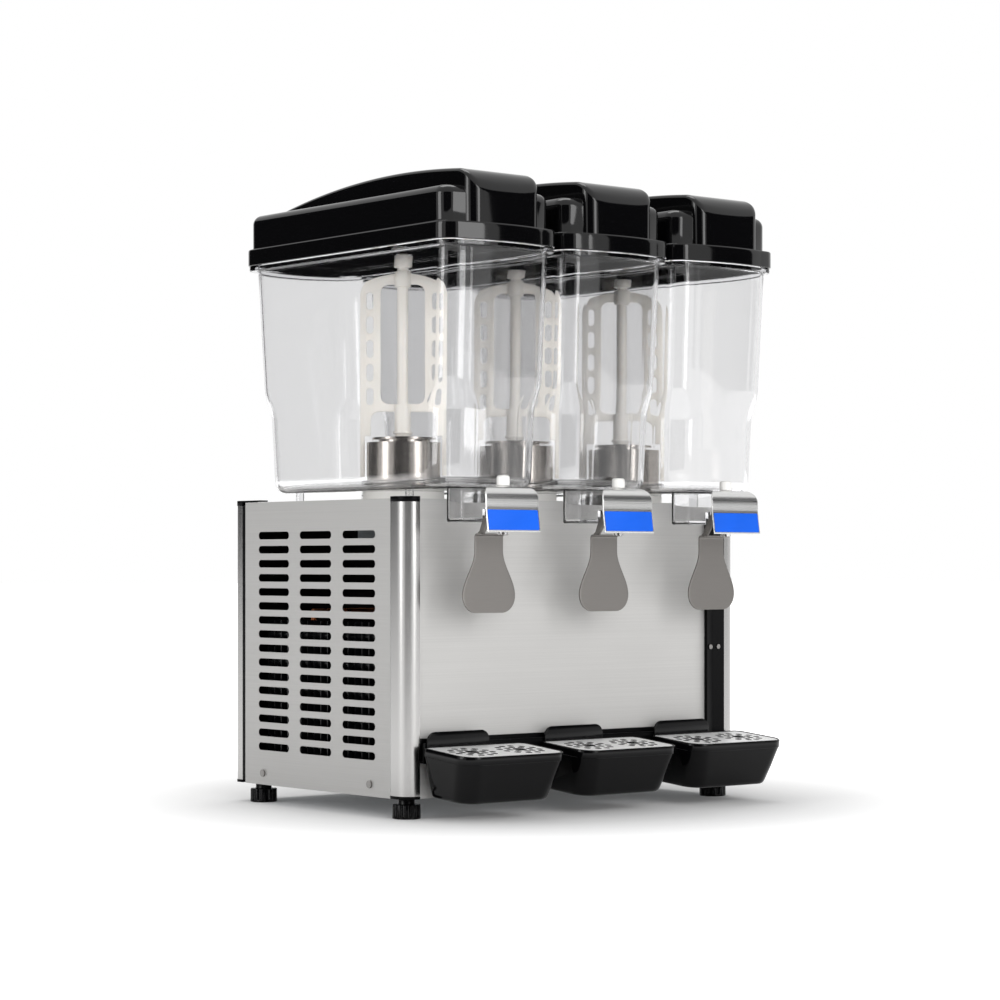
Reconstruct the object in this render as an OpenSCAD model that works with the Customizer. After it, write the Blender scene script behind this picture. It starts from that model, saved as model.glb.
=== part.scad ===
// Counter-top cold drink dispenser with three clear bowls over one cooling cabinet.
// Millimetres. +Z is up, the taps face -Y, and the origin is on the table under the middle.

/* [Cabinet] */
// Width of the cabinet across the corner posts
cab_w = 540; // [520:1:600]
// Depth of the cabinet from the front posts to the rear posts
cab_d = 357; // [345:1:400]
// Height of the cabinet from its lower edge to the deck
cab_h = 354; // [340:1:400]
// Thickness of the sheet metal panels
sheet_t = 1.2; // [0.8:0.1:2]
// Thickness of the deck and of the base pan
plate_t = 1.5; // [1:0.1:2.5]
// How far the front panel sits behind the front posts
front_recess = 8; // [6:0.5:12]
// How far the back panel sits inside the rear posts
back_recess = 2; // [1:0.5:4]
// Height of the upturned edge of the base pan
pan_edge_h = 25; // [20:1:40]

/* [Corner posts] */
// Width of a front post along X
post_w = 22; // [20:0.5:30]
// Depth of a front post along Y
post_d = 30; // [26:0.5:36]
// Corner radius of a front post
post_r = 18; // [12:0.5:19]
// Width of a rear post along X
back_post_w = 24; // [20:0.5:30]
// Depth of a rear post along Y
back_post_d = 17; // [14:0.5:22]
// Corner radius of a rear post
back_post_r = 8; // [4:0.5:10]
// Wall thickness of the posts
post_wall = 2; // [1.5:0.1:3]
// How far a cap stands proud of its post
cap_lip = 0.6; // [0.3:0.1:1]
// Height of a top cap
cap_h = 6.5; // [5:0.5:10]
// How far the top caps rise above the deck
cap_rise = 2.5; // [1.5:0.5:4]
// Height of a bottom cap
boot_h = 3.5; // [2.5:0.5:6]
// Length of the plug of a cap inside its post
plug_h = 8; // [4:1:15]
// How far the tail of a rear top cap runs forward over the side panel
cap_tail = 40; // [20:1:60]
// Thickness of that tail
cap_tail_t = 1.8; // [1:0.1:2]
// Width of the black strip between a side panel and its rear post
strip_w = 6; // [4:0.5:8]
// Width of the V-shaped strip at the right front seam
seam_w = 28; // [24:0.5:34]
// Distance of the strip's valley from its inner edge
seam_valley_in = 13; // [11:0.5:16]
// Distance of the strip's screws from the valley
seam_screw_in = 6.8; // [5:0.1:8]
// Thickness of the strip in its valley
seam_valley_t = 1.6; // [1.2:0.1:3]
// Thickness of the strip at its inner edge
seam_edge = 5.4; // [4:0.1:6]
// How far the strip's outer edge lies behind the front of the posts
seam_set = 0.6; // [0.3:0.1:2]
// Height of the strip's screws above the cabinet's lower edge
seam_screw_up = 170; // [120:1:220]

/* [Feet] */
// Height of a foot from the table to the cabinet
foot_h = 24; // [20:1:40]
// Height of the pad of a foot
pad_h = 17; // [10:1:18]
// Radius of the pad of a foot
pad_r = 17; // [14:0.5:19]
// Radius of the stem of a foot
stem_r = 10; // [8:0.5:12]
// Distance of a foot from the side of the cabinet
foot_in_x = 20; // [19:0.5:30]
// Distance of a front foot from the front of the posts
foot_in_front = 24; // [19:0.5:30]
// Distance of a rear foot from the back of the posts
foot_in_back = 36; // [34:0.5:50]
// Radius of the flutes around a pad
flute_r = 3; // [0.8:0.1:3.5]
// Number of flutes around a pad
flute_n = 10; // [8:1:16]

/* [Vents] */
// Length of a vent slot
slot_l = 66; // [50:1:70]
// Height of a vent slot
slot_h = 9.5; // [6:0.5:12]
// Distance between vent columns
slot_pitch_y = 89; // [80:1:100]
// Distance between vent rows
slot_pitch_z = 17.6; // [14:0.1:24]
// Plain band below the lowest vent row
slot_low = 48; // [45:1:70]
// Plain band above the highest vent row
slot_high = 41; // [30:1:60]
// Plain band at each end of the vent rows
slot_end = 27; // [15:1:40]
// Distance of the back panel's vent rows from its right end
back_vent_in = 150; // [110:1:160]

/* [Screws] */
// Radius of a panel screw's head
screw_head_r = 4.5; // [3.5:0.1:5.5]
// Height of a panel screw's head
screw_head_h = 2.2; // [1.5:0.1:3]
// Radius of a panel screw's shank
screw_r = 2; // [1.5:0.1:2.5]
// Height of the panel screws above the cabinet's lower edge
screw_z = 14.5; // [10:0.5:16]
// Distance of a side screw from the end of its panel
screw_in = 40; // [20:1:60]
// Radius of a seam strip screw's head
seam_screw_r = 3; // [2.5:0.1:4]
// Height of a seam strip screw's head
seam_screw_h = 3.4; // [2.5:0.1:4]

/* [Bowls] */
// Distance between the bowls
bowl_pitch = 181; // [178:1:190]
// Width of a bowl at its rim
bowl_w = 161; // [156:1:164]
// How far a bowl reaches in front of the cabinet at its rim
bowl_front = 78; // [76:0.5:78.5]
// Distance from the cabinet front to the back of a bowl at its rim
bowl_back = 335; // [320:1:338]
// How much each side draws in towards the bottom
side_draft = 5; // [2:0.5:8]
// How much the front draws in towards the bottom
front_draft = 16; // [15:0.5:20]
// How much the back draws in towards the bottom
back_draft = 21; // [10:0.5:26]
// Height of a bowl from its underside to its rim
bowl_h = 301; // [280:1:340]
// Gap between the deck and the underside of a bowl
bowl_lift = 11; // [9:0.5:16]
// Wall thickness of a bowl
bowl_wall = 3; // [2.5:0.1:4]
// Floor thickness of a bowl
bowl_floor = 4; // [3:0.1:6]
// Corner radius of the upper half of a bowl
bowl_r = 24; // [16:0.5:30]
// Corner radius of the lower half of a bowl
bowl_low_r = 42; // [32:0.5:50]
// Height at which the corners start to widen
jog_low = 91; // [70:1:110]
// Height over which the corners change
jog_h = 40; // [20:1:60]
// Radius of the bottom edge of a bowl
bowl_edge_r = 14; // [8:0.5:18]
// How far the middle of the bowl's front bulges
bowl_bow = 5; // [3:0.5:7]
// Depth of the rim inside the lid, above its flange
rim_h = 13.7; // [10:0.5:16]
// Thickness of the flange that the lid rests on
flange_t = 6; // [4:0.5:8]
// Width of the collar wall around the cooling dome
collar_t = 4; // [3:0.5:6]
// Height of the collar above the bowl's floor
collar_h = 6; // [4:0.5:10]
// Radius of the stub feet under a bowl
stub_r = 5; // [4:0.5:7]

/* [Lids] */
// Width of a lid across its skirt
lid_w = 176; // [172:0.5:177]
// How far a lid reaches in front of the cabinet
lid_front = 85; // [83:0.5:88]
// Distance from the cabinet front to the back of a lid
lid_back = 345; // [342:1:352]
// Height of the skirt
skirt_h = 21; // [16:0.5:28]
// Corner radius of the skirt
skirt_r = 25; // [18:0.5:30]
// How far the body stands in from the skirt
body_in = 6; // [4:0.5:7]
// Height of the shoulder above the skirt's lower edge
shoulder_h = 64.5; // [58:0.5:80]
// Radius of the shoulder's edge
shoulder_r = 12; // [6:0.5:14]
// How far the shoulder's front stands behind the grip's front
shoulder_back = 6; // [3:0.5:8]
// Width of the raised grip along the middle
hump_w = 106; // [90:1:120]
// Height of the grip above the shoulder
hump_rise = 27; // [20:0.5:36]
// Radius of the grip's front edges
hump_r = 12; // [6:0.5:16]
// Radius of the grip's front edge seen from the side
hump_nose = 30; // [12:0.5:34]
// Distance from the cabinet front to the grip's highest point
hump_crest = 70; // [40:1:120]
// Distance from the cabinet front to the grip's rear end
hump_end = 325; // [300:1:330]
// Wall thickness of a lid
lid_wall = 2.5; // [2:0.1:2.5]
// How far the middle of the lid's front bulges
lid_bow = 8; // [4:0.5:10]
// Length of the finger recess across the grip
grip_l = 62; // [40:1:80]
// Width of the finger recess
grip_w = 20; // [14:1:30]
// Depth of the finger recess
grip_deep = 4; // [2:0.5:5]

/* [Cooling domes] */
// Distance from the cabinet front to the axes of the domes
axis_back = 120; // [110:1:140]
// Radius of a dome
dome_r = 44; // [38:0.5:44]
// Height of a dome above the deck
dome_h = 71; // [60:1:90]
// Wall thickness of a dome
dome_wall = 1.5; // [1:0.1:2.5]
// Width of the flange at the foot of a dome
dome_flange = 8; // [6:0.5:10]
// Radius of the cap plate on a dome
dome_cap_r = 37.5; // [32:0.5:38]
// Height of the cap plate above the dome
dome_cap_h = 6; // [4:0.5:6]
// Thickness of the cap plate's rim
dome_cap_t = 2.5; // [1.5:0.1:3]
// Width of the seal ring around the foot of a dome
seal_w = 5.8; // [4:0.1:6]
// Radius of the shaft seal in a dome
shaft_seal_r = 8; // [7.5:0.1:10]

/* [Stirring paddles] */
// Turn of the paddles about their axes at rest
paddle_turn = -39.4; // [-90:0.1:90]
// Half the width of a paddle
paddle_half = 52; // [51:0.5:56]
// Thickness of a paddle's frame
paddle_t = 3; // [2:0.5:5]
// Height of a paddle's top edge above the deck
paddle_top = 278.5; // [260:0.5:282]
// Height of a paddle's legs above the deck
paddle_low = 29; // [26:0.5:40]
// Radius of a paddle's top corners
paddle_r = 30; // [20:0.5:36]
// Radius of the arched top edge
paddle_arch_r = 100; // [80:1:140]
// Half the width of the upper window
window_half = 27; // [22:0.5:28]
// Height of the bar above the upper window
window_top = 14; // [12:0.5:24]
// Corner radius of the windows
window_r = 10; // [6:0.5:12]
// Height of the cross bar's lower edge above the deck
bar_low = 109; // [100:0.5:116]
// Height of the cross bar
bar_h = 9.4; // [8:0.1:14]
// Half the width of the opening above the dome
arch_half = 39; // [38.5:0.5:41]
// Clearance of the legs around the dome
leg_gap = 2.2; // [1:0.1:3]
// Distance of a leg's slots from the axis
leg_slot_x = 40; // [38:0.5:42]
// Width of a leg slot
leg_slot_w = 8.5; // [6:0.5:10]
// Length of a leg slot
leg_slot_l = 21; // [16:0.5:22]
// Distance between leg slots
leg_slot_pitch = 29.2; // [26:0.1:32]
// Height of the middle leg slot above the deck
leg_slot_mid = 186; // [180:0.5:192]
// Number of slots in each leg
leg_slot_n = 5; // [3:1:5]
// Radius of a paddle's shaft
paddle_shaft_r = 6.7; // [6:0.1:8]
// Radius of the hubs on a paddle's shaft
hub_r = 11; // [10:0.5:13]
// Length of the top hub
top_hub_h = 19; // [12:0.5:22]
// Gap between the paddle's top edge and the top hub
top_hub_gap = 9.5; // [6:0.5:14]
// Radius of the pin that turns in the lid
top_pin_r = 5; // [4:0.1:6]
// Length of that pin
top_pin_l = 24; // [16:0.5:28]
// Depth of the drive socket
socket_h = 20; // [14:0.5:24]
// Width across the square drive tongue
tongue_w = 7; // [6:0.1:7]
// Radius of a drive shaft
drive_r = 5; // [5:0.1:6]

/* [Taps] */
// How far the valve axis lies in front of the cabinet
valve_out = 71.5; // [71:0.5:73]
// How far the lever's pivot lies in front of the valve axis
pivot_lead = 11.5; // [10.5:0.5:13]
// Depth of the pivot below the underside of the bowl
pivot_drop = 19; // [17:0.5:21]
// Half the width of the sump under a bowl
sump_half = 38; // [34:0.5:38.5]
// Front face of the sump, in front of the cabinet
sump_front = 43; // [40:0.5:43.5]
// Rear face of the sump, in front of the cabinet
sump_rear = 10; // [6:0.5:14]
// Depth of the sump below the bowl
sump_h = 39; // [34:0.5:40]
// Radius of the spout
spout_r = 12; // [11:0.5:12.5]
// Radius of the spout's bore
spout_bore = 8; // [7:0.1:8.5]
// Depth of the spout's top below the bowl
spout_top = 23; // [22:0.5:24]
// Depth of the valve seat below the bowl
seat_drop = 47; // [46:0.5:49]
// Radius of the nozzle
nozzle_r = 6; // [5:0.1:6]
// Radius of the nozzle's bore
nozzle_bore = 4; // [3:0.1:4.5]
// Depth of the nozzle's tip below the bowl
nozzle_drop = 54; // [52:0.5:58]
// Radius of the port between sump and spout
port_r = 4; // [3:0.1:4]
// Radius of the plunger's cap
cap_r = 7.75; // [6.5:0.1:8]
// Height of the plunger's cap above the bowl's underside
cap_top = 15.5; // [12:0.5:20]
// Length of the plunger's cap
cap_l = 12; // [10:0.5:16]
// Radius of the plunger's stem
stem_rod_r = 4.5; // [3.5:0.1:5]
// Radius of the plunger's cross pin
cross_r = 2; // [1.5:0.1:2.2]
// Thickness of the lever's sheet
lever_t = 2; // [1.5:0.1:2.5]
// How far the lever hangs in front of the cabinet
lever_out = 44; // [42:0.5:45]
// Depth of the lever's top bend below the bowl
lever_top = 52.5; // [52:0.5:55]
// Length of the lever below its bend
lever_l = 93.5; // [80:0.5:110]
// Half the width of the lever at its neck
lever_neck = 21; // [19:0.5:26]
// Half the width of the lever's paddle
lever_wide = 39.5; // [30:0.5:44]
// Radius of the lever's lower corners
lever_r = 20; // [10:0.5:22]
// Inner half gap between the lever's ears
ear_half = 15.5; // [15:0.1:17]
// Radius of the pivot pin
pin_r = 2; // [1.5:0.1:2.2]
// Radius of the return spring on the pivot pin
spring_r = 3.6; // [3:0.1:3.8]
// Width of the tap cover
cover_w = 80; // [70:1:90]
// Thickness of the tap cover
cover_t = 1.2; // [0.8:0.1:1.5]
// Depth of the cover's lower edge below the bowl
cover_low = 51; // [46:0.5:54]
// Height of the cover's top edge above the bowl's underside
cover_top = 3; // [0:0.5:5]
// How far the cover's lower edge leans forward
cover_lean = 4; // [0:0.5:5]
// Height of the cover's crease above its lower edge
crease_h = 28; // [22:0.5:30]
// How far the cover's top bends back
cover_back = 11; // [6:0.5:12]
// Corner radius of the cover's top
cover_r = 13; // [6:0.5:16]

/* [Drip trays] */
// How far a tray reaches in front of the cabinet
tray_reach = 96; // [90:0.5:104]
// Width of a tray across its rim
tray_w = 156; // [150:0.5:160]
// How far the trays hang to the right of the taps
tray_shift = 6; // [0:0.5:8]
// How much the trays lean forward, in degrees
tray_lean = 5; // [3:0.5:6]
// Height of the rim above the cabinet's lower edge
tray_rim = 54; // [50:0.5:60]
// Depth of a tray's underside below the cabinet's lower edge
tray_low = 4; // [2:0.5:5]
// Height of the rim band
rim_band = 10; // [8:0.5:14]
// How much the sides draw in towards the bottom
tray_side_in = 9.5; // [6:0.5:14]
// How much the front draws in towards the bottom
tray_front_in = 14; // [6:0.5:18]
// How much the back draws in towards the bottom
tray_back_in = 6; // [3:0.5:10]
// Step under the rim band
band_step = 0.6; // [0.4:0.1:3]
// Corner radius of the tray
tray_r = 22; // [14:0.5:28]
// Wall thickness of the tray
tray_wall = 2.5; // [2:0.1:3]
// Depth of the grid below the rim
grid_drop = 0.8; // [0.5:0.1:6]
// Width of the ledge that carries the grid
ledge_w = 4; // [3:0.1:5]
// Thickness of the grid
grid_t = 1.2; // [0.8:0.1:2]
// Distance of the clusters of holes from the middle of a grid
cluster_x = 36; // [34:0.5:40]
// Radius of the large hole in each cluster
drain_r = 8.5; // [6:0.5:9]
// Radius of the small holes
hole_r = 4.2; // [3:0.1:4.5]
// Number of small holes in the inner circle of a cluster
hole_n = 8; // [6:2:10]
// Radius of the inner circle of holes
hole_ring = 15; // [14:0.5:17]
// Radius of the outer circle of holes
hole_ring_out = 26; // [25:0.5:28]
// Width of the hanging tab
tab_w = 94; // [70:1:110]
// Distance of the tab from the middle of its tray
tab_shift = -22; // [-24:0.5:-10]
// Height of the tab above the rim
tab_h = 25; // [22:0.5:30]
// Corner radius of the tab
tab_r = 12; // [6:0.5:16]
// Thickness of the tab and its hook
tab_t = 3; // [2.5:0.1:3.5]
// Thickness of the rail's back and lip
rail_t = 2.5; // [2:0.1:3]
// Height of the rail's lower edge above the cabinet's lower edge
rail_low = 42; // [38:0.5:46]
// Height of the rail
rail_h = 29; // [26:0.5:32]
// How far the rail runs past the outer tabs
rail_end = 3; // [2:0.5:8]

/* [Machinery] */
// Radius of the compressor
comp_r = 55; // [45:1:65]
// Height of the compressor
comp_h = 165; // [120:1:180]
// Width of a stirring gearbox
gearbox_w = 80; // [74:1:90]
// Height of a stirring gearbox
gearbox_h = 20; // [16:1:26]
// Gap between the deck and a stirring gearbox
gearbox_drop = 30; // [24:1:36]
// Radius of a stirring motor
stir_r = 22; // [18:1:28]
// Height of a stirring motor
stir_h = 45; // [35:1:55]
// Thickness of the condenser
cond_t = 30; // [24:1:36]
// Length of the condenser
cond_l = 240; // [200:1:250]
// Height of the condenser
cond_h = 205; // [180:1:220]
// Number of condenser fins
fin_n = 18; // [8:1:24]
// Radius of the condenser tubes
tube_r = 4; // [3:0.1:5]
// Radius of the fan
fan_r = 84; // [70:1:86]
// Number of fan blades
blade_n = 5; // [3:1:7]
// Radius of the fan's hub
fan_hub_r = 22; // [18:1:26]
// Radius of the fan motor
fan_motor_r = 26; // [22:1:32]
// Length of the fan motor
fan_motor_l = 48; // [36:1:60]
// Radius of the refrigerant lines
line_r = 3; // [2:0.1:4]

/* [Rear controls] */
// Height of the controls above the cabinet's lower edge
ctl_z = 300; // [280:1:310]
// Distance of the first switch from the middle
ctl_x = 120; // [100:1:130]
// Distance between the controls
ctl_pitch = 40; // [36:1:44]
// Width of a switch's cut-out
sw_w = 19; // [17:0.1:21]
// Height of a switch's cut-out
sw_h = 27; // [26:0.1:30]
// Radius of the thermostat knob
knob_r = 15; // [12:0.5:17]
// Height of the thermostat knob
knob_h = 14; // [10:0.5:18]
// Radius of the thermostat's spindle
spindle_r = 3; // [2.5:0.1:3.5]
// Radius of the gland's bore for the mains lead
gland_bore = 4.2; // [3.5:0.1:5]
// Distance of the gland from the back panel's end
gland_in = 56; // [46:1:90]
// Wall of the gland around its bore
gland_wall = 3.5; // [2.5:0.1:5]
// Length of the gland inside the back panel
gland_deep = 6; // [4:0.5:10]
// Height of the gland above the base pan's edge
gland_up = 25; // [20:1:60]

/* [Hidden] */

$fn = 48;
// Gap between separate pieces that rest side by side
gap = 0.3;
// Radial clearance of a running fit
run = 0.05;
// Overcut of a hole past the face that it opens
cut = 1;
// Straight pieces in each rounded corner of a lofted outline
corner_steps = 5;
// Straight pieces along a bowed front edge
bow_steps = 6;
// Smallest corner radius of an inset outline
least_r = 2;

// Planes of the cabinet
front_y = (tray_reach - cab_d - knob_h + back_recess) / 2;
back_y = front_y + cab_d;
base_z = foot_h;
deck_z = base_z + cab_h;
side_x = cab_w / 2;
skin_x = side_x - cap_lip;
panel_y = front_y + front_recess;
rear_y = back_y - back_recess;
inner_x = skin_x - sheet_t - gap;
inner_front = panel_y + sheet_t + gap;
inner_back = rear_y - sheet_t - gap;
side_front = front_y + post_d + gap;
side_back = back_y - back_post_d - strip_w - gap;
floor_z = base_z + plate_t;
axis_y = front_y + axis_back;

// Levels of the bowls and lids
bowl_z = deck_z + bowl_lift;
floor_top = bowl_z + bowl_floor;
bowl_top = bowl_z + bowl_h;
flange_top = bowl_top - rim_h;
skirt_z = flange_top + gap;
shoulder_z = skirt_z + shoulder_h;
crest_z = shoulder_z + hump_rise;
flange_in = 1.5;
hump_proud = 2;
skirt_slope = 0.5;
dome_top = deck_z + dome_h;
cap_plate_top = dome_top + dome_cap_h;

// Heights of the paddles, the drive and the motors
paddle_z1 = deck_z + paddle_top;
paddle_z0 = deck_z + paddle_low;
shaft_seal_proud = 1;
hub_foot = cap_plate_top + 2 * gap + shaft_seal_proud;
socket_top = hub_foot + socket_h;
tongue_top = socket_top - 1;
top_hub_z = paddle_z1 + top_hub_gap;
top_pin_z = top_hub_z + top_hub_h;
pin_end_z = top_pin_z + top_pin_l;
boss_z = top_pin_z + 2;
gearbox_z = deck_z - plate_t - gearbox_drop - gearbox_h;
drive_in = 14;

// Tap planes: Y positions in front of the cabinet and Z positions below the bowl
valve_y = front_y - valve_out;
pivot_y = valve_y - pivot_lead;
pivot_z = bowl_z - pivot_drop;
spout_z1 = bowl_z - spout_top;
seat_z = bowl_z - seat_drop;
nozzle_z = bowl_z - nozzle_drop;
sump_z = bowl_z - sump_h;
lever_y = front_y - lever_out;
bend_z = bowl_z - lever_top;
lever_z = bend_z - lever_l;
ear_r = 3.5;
ear_w = 4;
lug_gap = 0.5;
heel_y = front_y - sump_front - 12.5;
lug_half = ear_half - lug_gap;
lug_w = 5.5;
web_t = 1;
lug_y0 = pivot_y - ear_r - web_t / 2;
cover_clear = 2;
cover_y = lug_y0 - gap;
lift_z = pivot_z + 1.7;
cross_z = lift_z + gap + cross_r;

// Tray levels
tray_z0 = base_z - tray_low;
tray_z1 = base_z + tray_rim;
band_z = tray_z1 - rim_band;
ledge_z = tray_z1 - grid_drop - grid_t - gap;
tab_z = tray_z1 + tab_h;
rail_z0 = base_z + rail_low;
rail_z1 = rail_z0 + rail_h;
rail_lip_drop = 5;
hook_gap = 0.8;
hook_half = tab_w / 2 - tab_r;
hook_z = rail_z1 - rail_lip_drop + 1;
channel_w = tab_t + 2 * hook_gap;
rail_back_y = panel_y - gap;
channel_y1 = front_y + 2.5 * hook_gap;
channel_y0 = channel_y1 - channel_w;
lip_y0 = channel_y0 - rail_t;
tab_y1 = lip_y0 - 2 * gap;
tab_y0 = tab_y1 - tab_t;
tray_y1 = tab_y1 - gap - rim_band * sin(tray_lean);
tray_y0 = front_y - tray_reach;

// Positions inside the cabinet
comp_x = 100;
comp_y = front_y + 225;
comp_foot = 8;
comp_plate_l = 140;
comp_plate_w = 110;
comp_plate_t = 4;
cond_x = -skin_x + sheet_t + 12;
cond_y = (side_front + side_back) / 2;
shroud_t = 2;
shroud_x = cond_x + cond_t + gap;
fan_z = floor_z + cond_h / 2;
fan_deep = 22;
fan_x = shroud_x + shroud_t + 8;
fan_motor_x = fan_x + fan_deep + 3;
fan_shaft_r = 4;
manifold_z = floor_z + cond_h + 12;

steel = [0.8, 0.8, 0.81];
black = [0.03, 0.03, 0.03];
clear = [0.86, 0.92, 0.95, 0.35];
cream = [0.9, 0.9, 0.86];

function bowl_x(i) = (i - 1) * bowl_pitch;

// Points of an arc about a centre
function arc(c, r, a0, a1, n = corner_steps) =
  [for (i = [0:n]) let (a = a0 + (a1 - a0) * i / n) c + r * [cos(a), sin(a)]];

// Rounded outline from front yf to back yr, half as wide as hw, with a front edge bowed by bow
function outline(hw, yf, yr, rf, rr, bow) =
  let (c = hw - rf, s = atan2(2 * bow, c), yc = yf + bow + rf * cos(s))
  concat(
    arc([hw - rf, yc], rf, s - 90, 0),
    arc([hw - rr, yr - rr], rr, 0, 90),
    arc([rr - hw, yr - rr], rr, 90, 180),
    arc([rf - hw, yc], rf, 180, 270 - s),
    bow == 0 ? [] : [for (i = [1:bow_steps - 1])
      let (x = c * (2 * i / bow_steps - 1)) [x, yf + bow * pow(x / c, 2)]]);

function ring(points, z) = [for (p = points) [p.x, p.y, z]];

// Closed solid through rings with equal point counts, lowest ring first
module loft(rings) {
  n = len(rings[0]);
  m = len(rings);
  sides = [for (j = [0:m - 2], i = [0:n - 1])
    let (a = j * n + i, b = j * n + (i + 1) % n)
    each [[a, a + n, b + n], [a, b + n, b]]];
  caps = [[for (i = [0:n - 1]) i], [for (i = [n - 1:-1:0]) (m - 1) * n + i]];
  polyhedron([for (r = rings) each r], concat(sides, caps));
}

module block(x0, x1, y0, y1, z0, z1) {
  translate([x0, y0, z0])
    cube([x1 - x0, y1 - y0, z1 - z0]);
}

// Rod along Z, X or Y from a start point
module rod_z(p, r, l) translate(p) cylinder(r = r, h = l);
module rod_x(p, r, l) translate(p) rotate([0, 90, 0]) cylinder(r = r, h = l);
module rod_y(p, r, l) translate(p) rotate([-90, 0, 0]) cylinder(r = r, h = l);

// Rectangle with rounded corners about the origin
module round_rect(w, h, r) {
  square([w - 2 * r, h], center = true);
  square([w, h - 2 * r], center = true);
  for (sx = [-1, 1], sy = [-1, 1])
    translate([sx * (w / 2 - r), sy * (h / 2 - r)])
      circle(r);
}

// Slot along the first axis with round ends
module slot2d(l, h) {
  square([l - h, h], center = true);
  for (s = [-1, 1])
    translate([s * (l - h) / 2, 0])
      circle(h / 2);
}

// Extrude a drawing of X and Z along Y, or a drawing of Y and Z along X
module stand_y(y0, y1) translate([0, y1, 0]) rotate([90, 0, 0]) linear_extrude(y1 - y0) children();
module stand_x(x0, x1) translate([x0, 0, 0]) rotate([90, 0, 90]) linear_extrude(x1 - x0) children();

// Sheet metal of the cabinet

// Rows and columns of vent slots on a panel that is len long and high tall, from its lower edge
module vent_field(len, high) {
  cols = floor((len - slot_l - 2 * slot_end) / slot_pitch_y) + 1;
  rows = floor((high - slot_low - slot_high) / slot_pitch_z) + 1;
  for (c = [0:cols - 1], r = [0:rows - 1])
    translate([(c - (cols - 1) / 2) * slot_pitch_y, slot_low + r * slot_pitch_z])
      slot2d(slot_l, slot_h);
}

side_mid = (side_front + side_back) / 2;
side_len = side_back - side_front;
side_screw_y = [side_front + screw_in, side_back - screw_in];
back_half = side_x - back_post_w - gap;
back_screw_x = back_half - 1.5 * screw_in;

module side_panel() {
  difference() {
    stand_x(skin_x - sheet_t, skin_x)
      difference() {
        translate([side_front, base_z])
          square([side_len, cab_h]);
        translate([side_mid, base_z])
          vent_field(side_len, cab_h);
      }
    for (y = side_screw_y)
      rod_x([skin_x - sheet_t - cut, y, base_z + screw_z], screw_r + gap, sheet_t + 2 * cut);
  }
}

module side_panels() {
  color(steel) {
    side_panel();
    mirror([1, 0, 0])
      side_panel();
  }
}

module front_panel() {
  half = side_x - post_w - gap;
  color(steel)
    block(-half, half, panel_y, panel_y + sheet_t, base_z, deck_z);
}

module switch_cutouts(grow) {
  for (k = [0:1])
    translate([ctl_x + k * ctl_pitch, base_z + ctl_z])
      square([sw_w + 2 * grow, sw_h + 2 * grow], center = true);
}

knob_x = ctl_x - ctl_pitch;
gland_x = back_half - gland_in;
gland_r = gland_bore + gland_wall;
gland_z = base_z + pan_edge_h + gland_up;

module back_panel() {
  color(steel)
    difference() {
      stand_y(rear_y - sheet_t, rear_y)
        difference() {
          translate([-back_half, base_z])
            square([2 * back_half, cab_h]);
          translate([back_half - back_vent_in, base_z])
            vent_field(slot_pitch_y + slot_l + 2 * slot_end, ctl_z - sw_h);
          switch_cutouts(gap);
        }
      for (s = [-1, 1])
        rod_y([s * back_screw_x, rear_y - sheet_t - cut, base_z + screw_z], screw_r + gap,
          sheet_t + 2 * cut);
      rod_y([knob_x, rear_y - sheet_t - cut, base_z + ctl_z], 2 * spindle_r, sheet_t + 2 * cut);
      rod_y([-gland_x, rear_y - sheet_t - cut, gland_z], gland_r + gap, sheet_t + 2 * cut);
    }
}

// Plate that fills the cabinet in plan, notched around the four posts
module inner_plan() {
  difference() {
    translate([-inner_x, inner_front])
      square([2 * inner_x, inner_back - inner_front]);
    for (s = [-1, 1]) {
      translate([s * (side_x - post_w / 2), front_y + post_d / 2])
        square([post_w + 2 * gap, post_d + 2 * gap], center = true);
      translate([s * (side_x - back_post_w / 2), back_y - (back_post_d + strip_w + gap) / 2])
        square([back_post_w + 2 * gap, back_post_d + strip_w + 3 * gap], center = true);
    }
  }
}

module top_deck() {
  color(steel)
    difference() {
      translate([0, 0, deck_z - plate_t])
        linear_extrude(plate_t)
          inner_plan();
      for (i = [0:2])
        rod_z([bowl_x(i), axis_y, deck_z - plate_t - cut], dome_r - dome_wall, plate_t + 2 * cut);
    }
}

module base_pan() {
  top = base_z + pan_edge_h;
  color(steel)
    difference() {
      union() {
        translate([0, 0, base_z])
          linear_extrude(plate_t)
            inner_plan();
        for (s = [-1, 1])
          block(min(s * inner_x, s * (inner_x - sheet_t)), max(s * inner_x, s * (inner_x - sheet_t)),
            side_front, side_back, base_z, top);
        block(-back_half, back_half, inner_back - sheet_t, inner_back, base_z, top);
        block(-(side_x - post_w - gap), side_x - post_w - gap, inner_front, inner_front + sheet_t,
          base_z, top);
      }
      for (y = side_screw_y)
        rod_x([-side_x, y, base_z + screw_z], screw_r + run, 2 * side_x);
      for (s = [-1, 1])
        rod_y([s * back_screw_x, inner_back - sheet_t - cut, base_z + screw_z], screw_r + run,
          sheet_t + 2 * cut);
    }
}

// Corner posts with their caps

// Post outline with its round outer corner at the origin, growing along +X and +Y
module post_plan(w, d, r) {
  intersection() {
    square([w, d]);
    union() {
      translate([r, 0])
        square([w, d]);
      translate([0, r])
        square([w, d]);
      translate([r, r])
        circle(r);
    }
  }
}

module post_tube(w, d, r) {
  difference() {
    post_plan(w, d, r);
    translate([post_wall, post_wall])
      post_plan(w - 2 * post_wall, d - 2 * post_wall, max(r - post_wall, cap_lip));
  }
}

// The four corners: children are drawn with the outer corner at the origin
module front_corners() {
  for (s = [0, 1])
    mirror([s, 0, 0])
      translate([-side_x, front_y, 0])
        children();
}

module back_corners() {
  for (s = [0, 1])
    mirror([s, 0, 0])
      translate([-side_x, back_y, 0])
        mirror([0, 1, 0])
          children();
}

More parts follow.
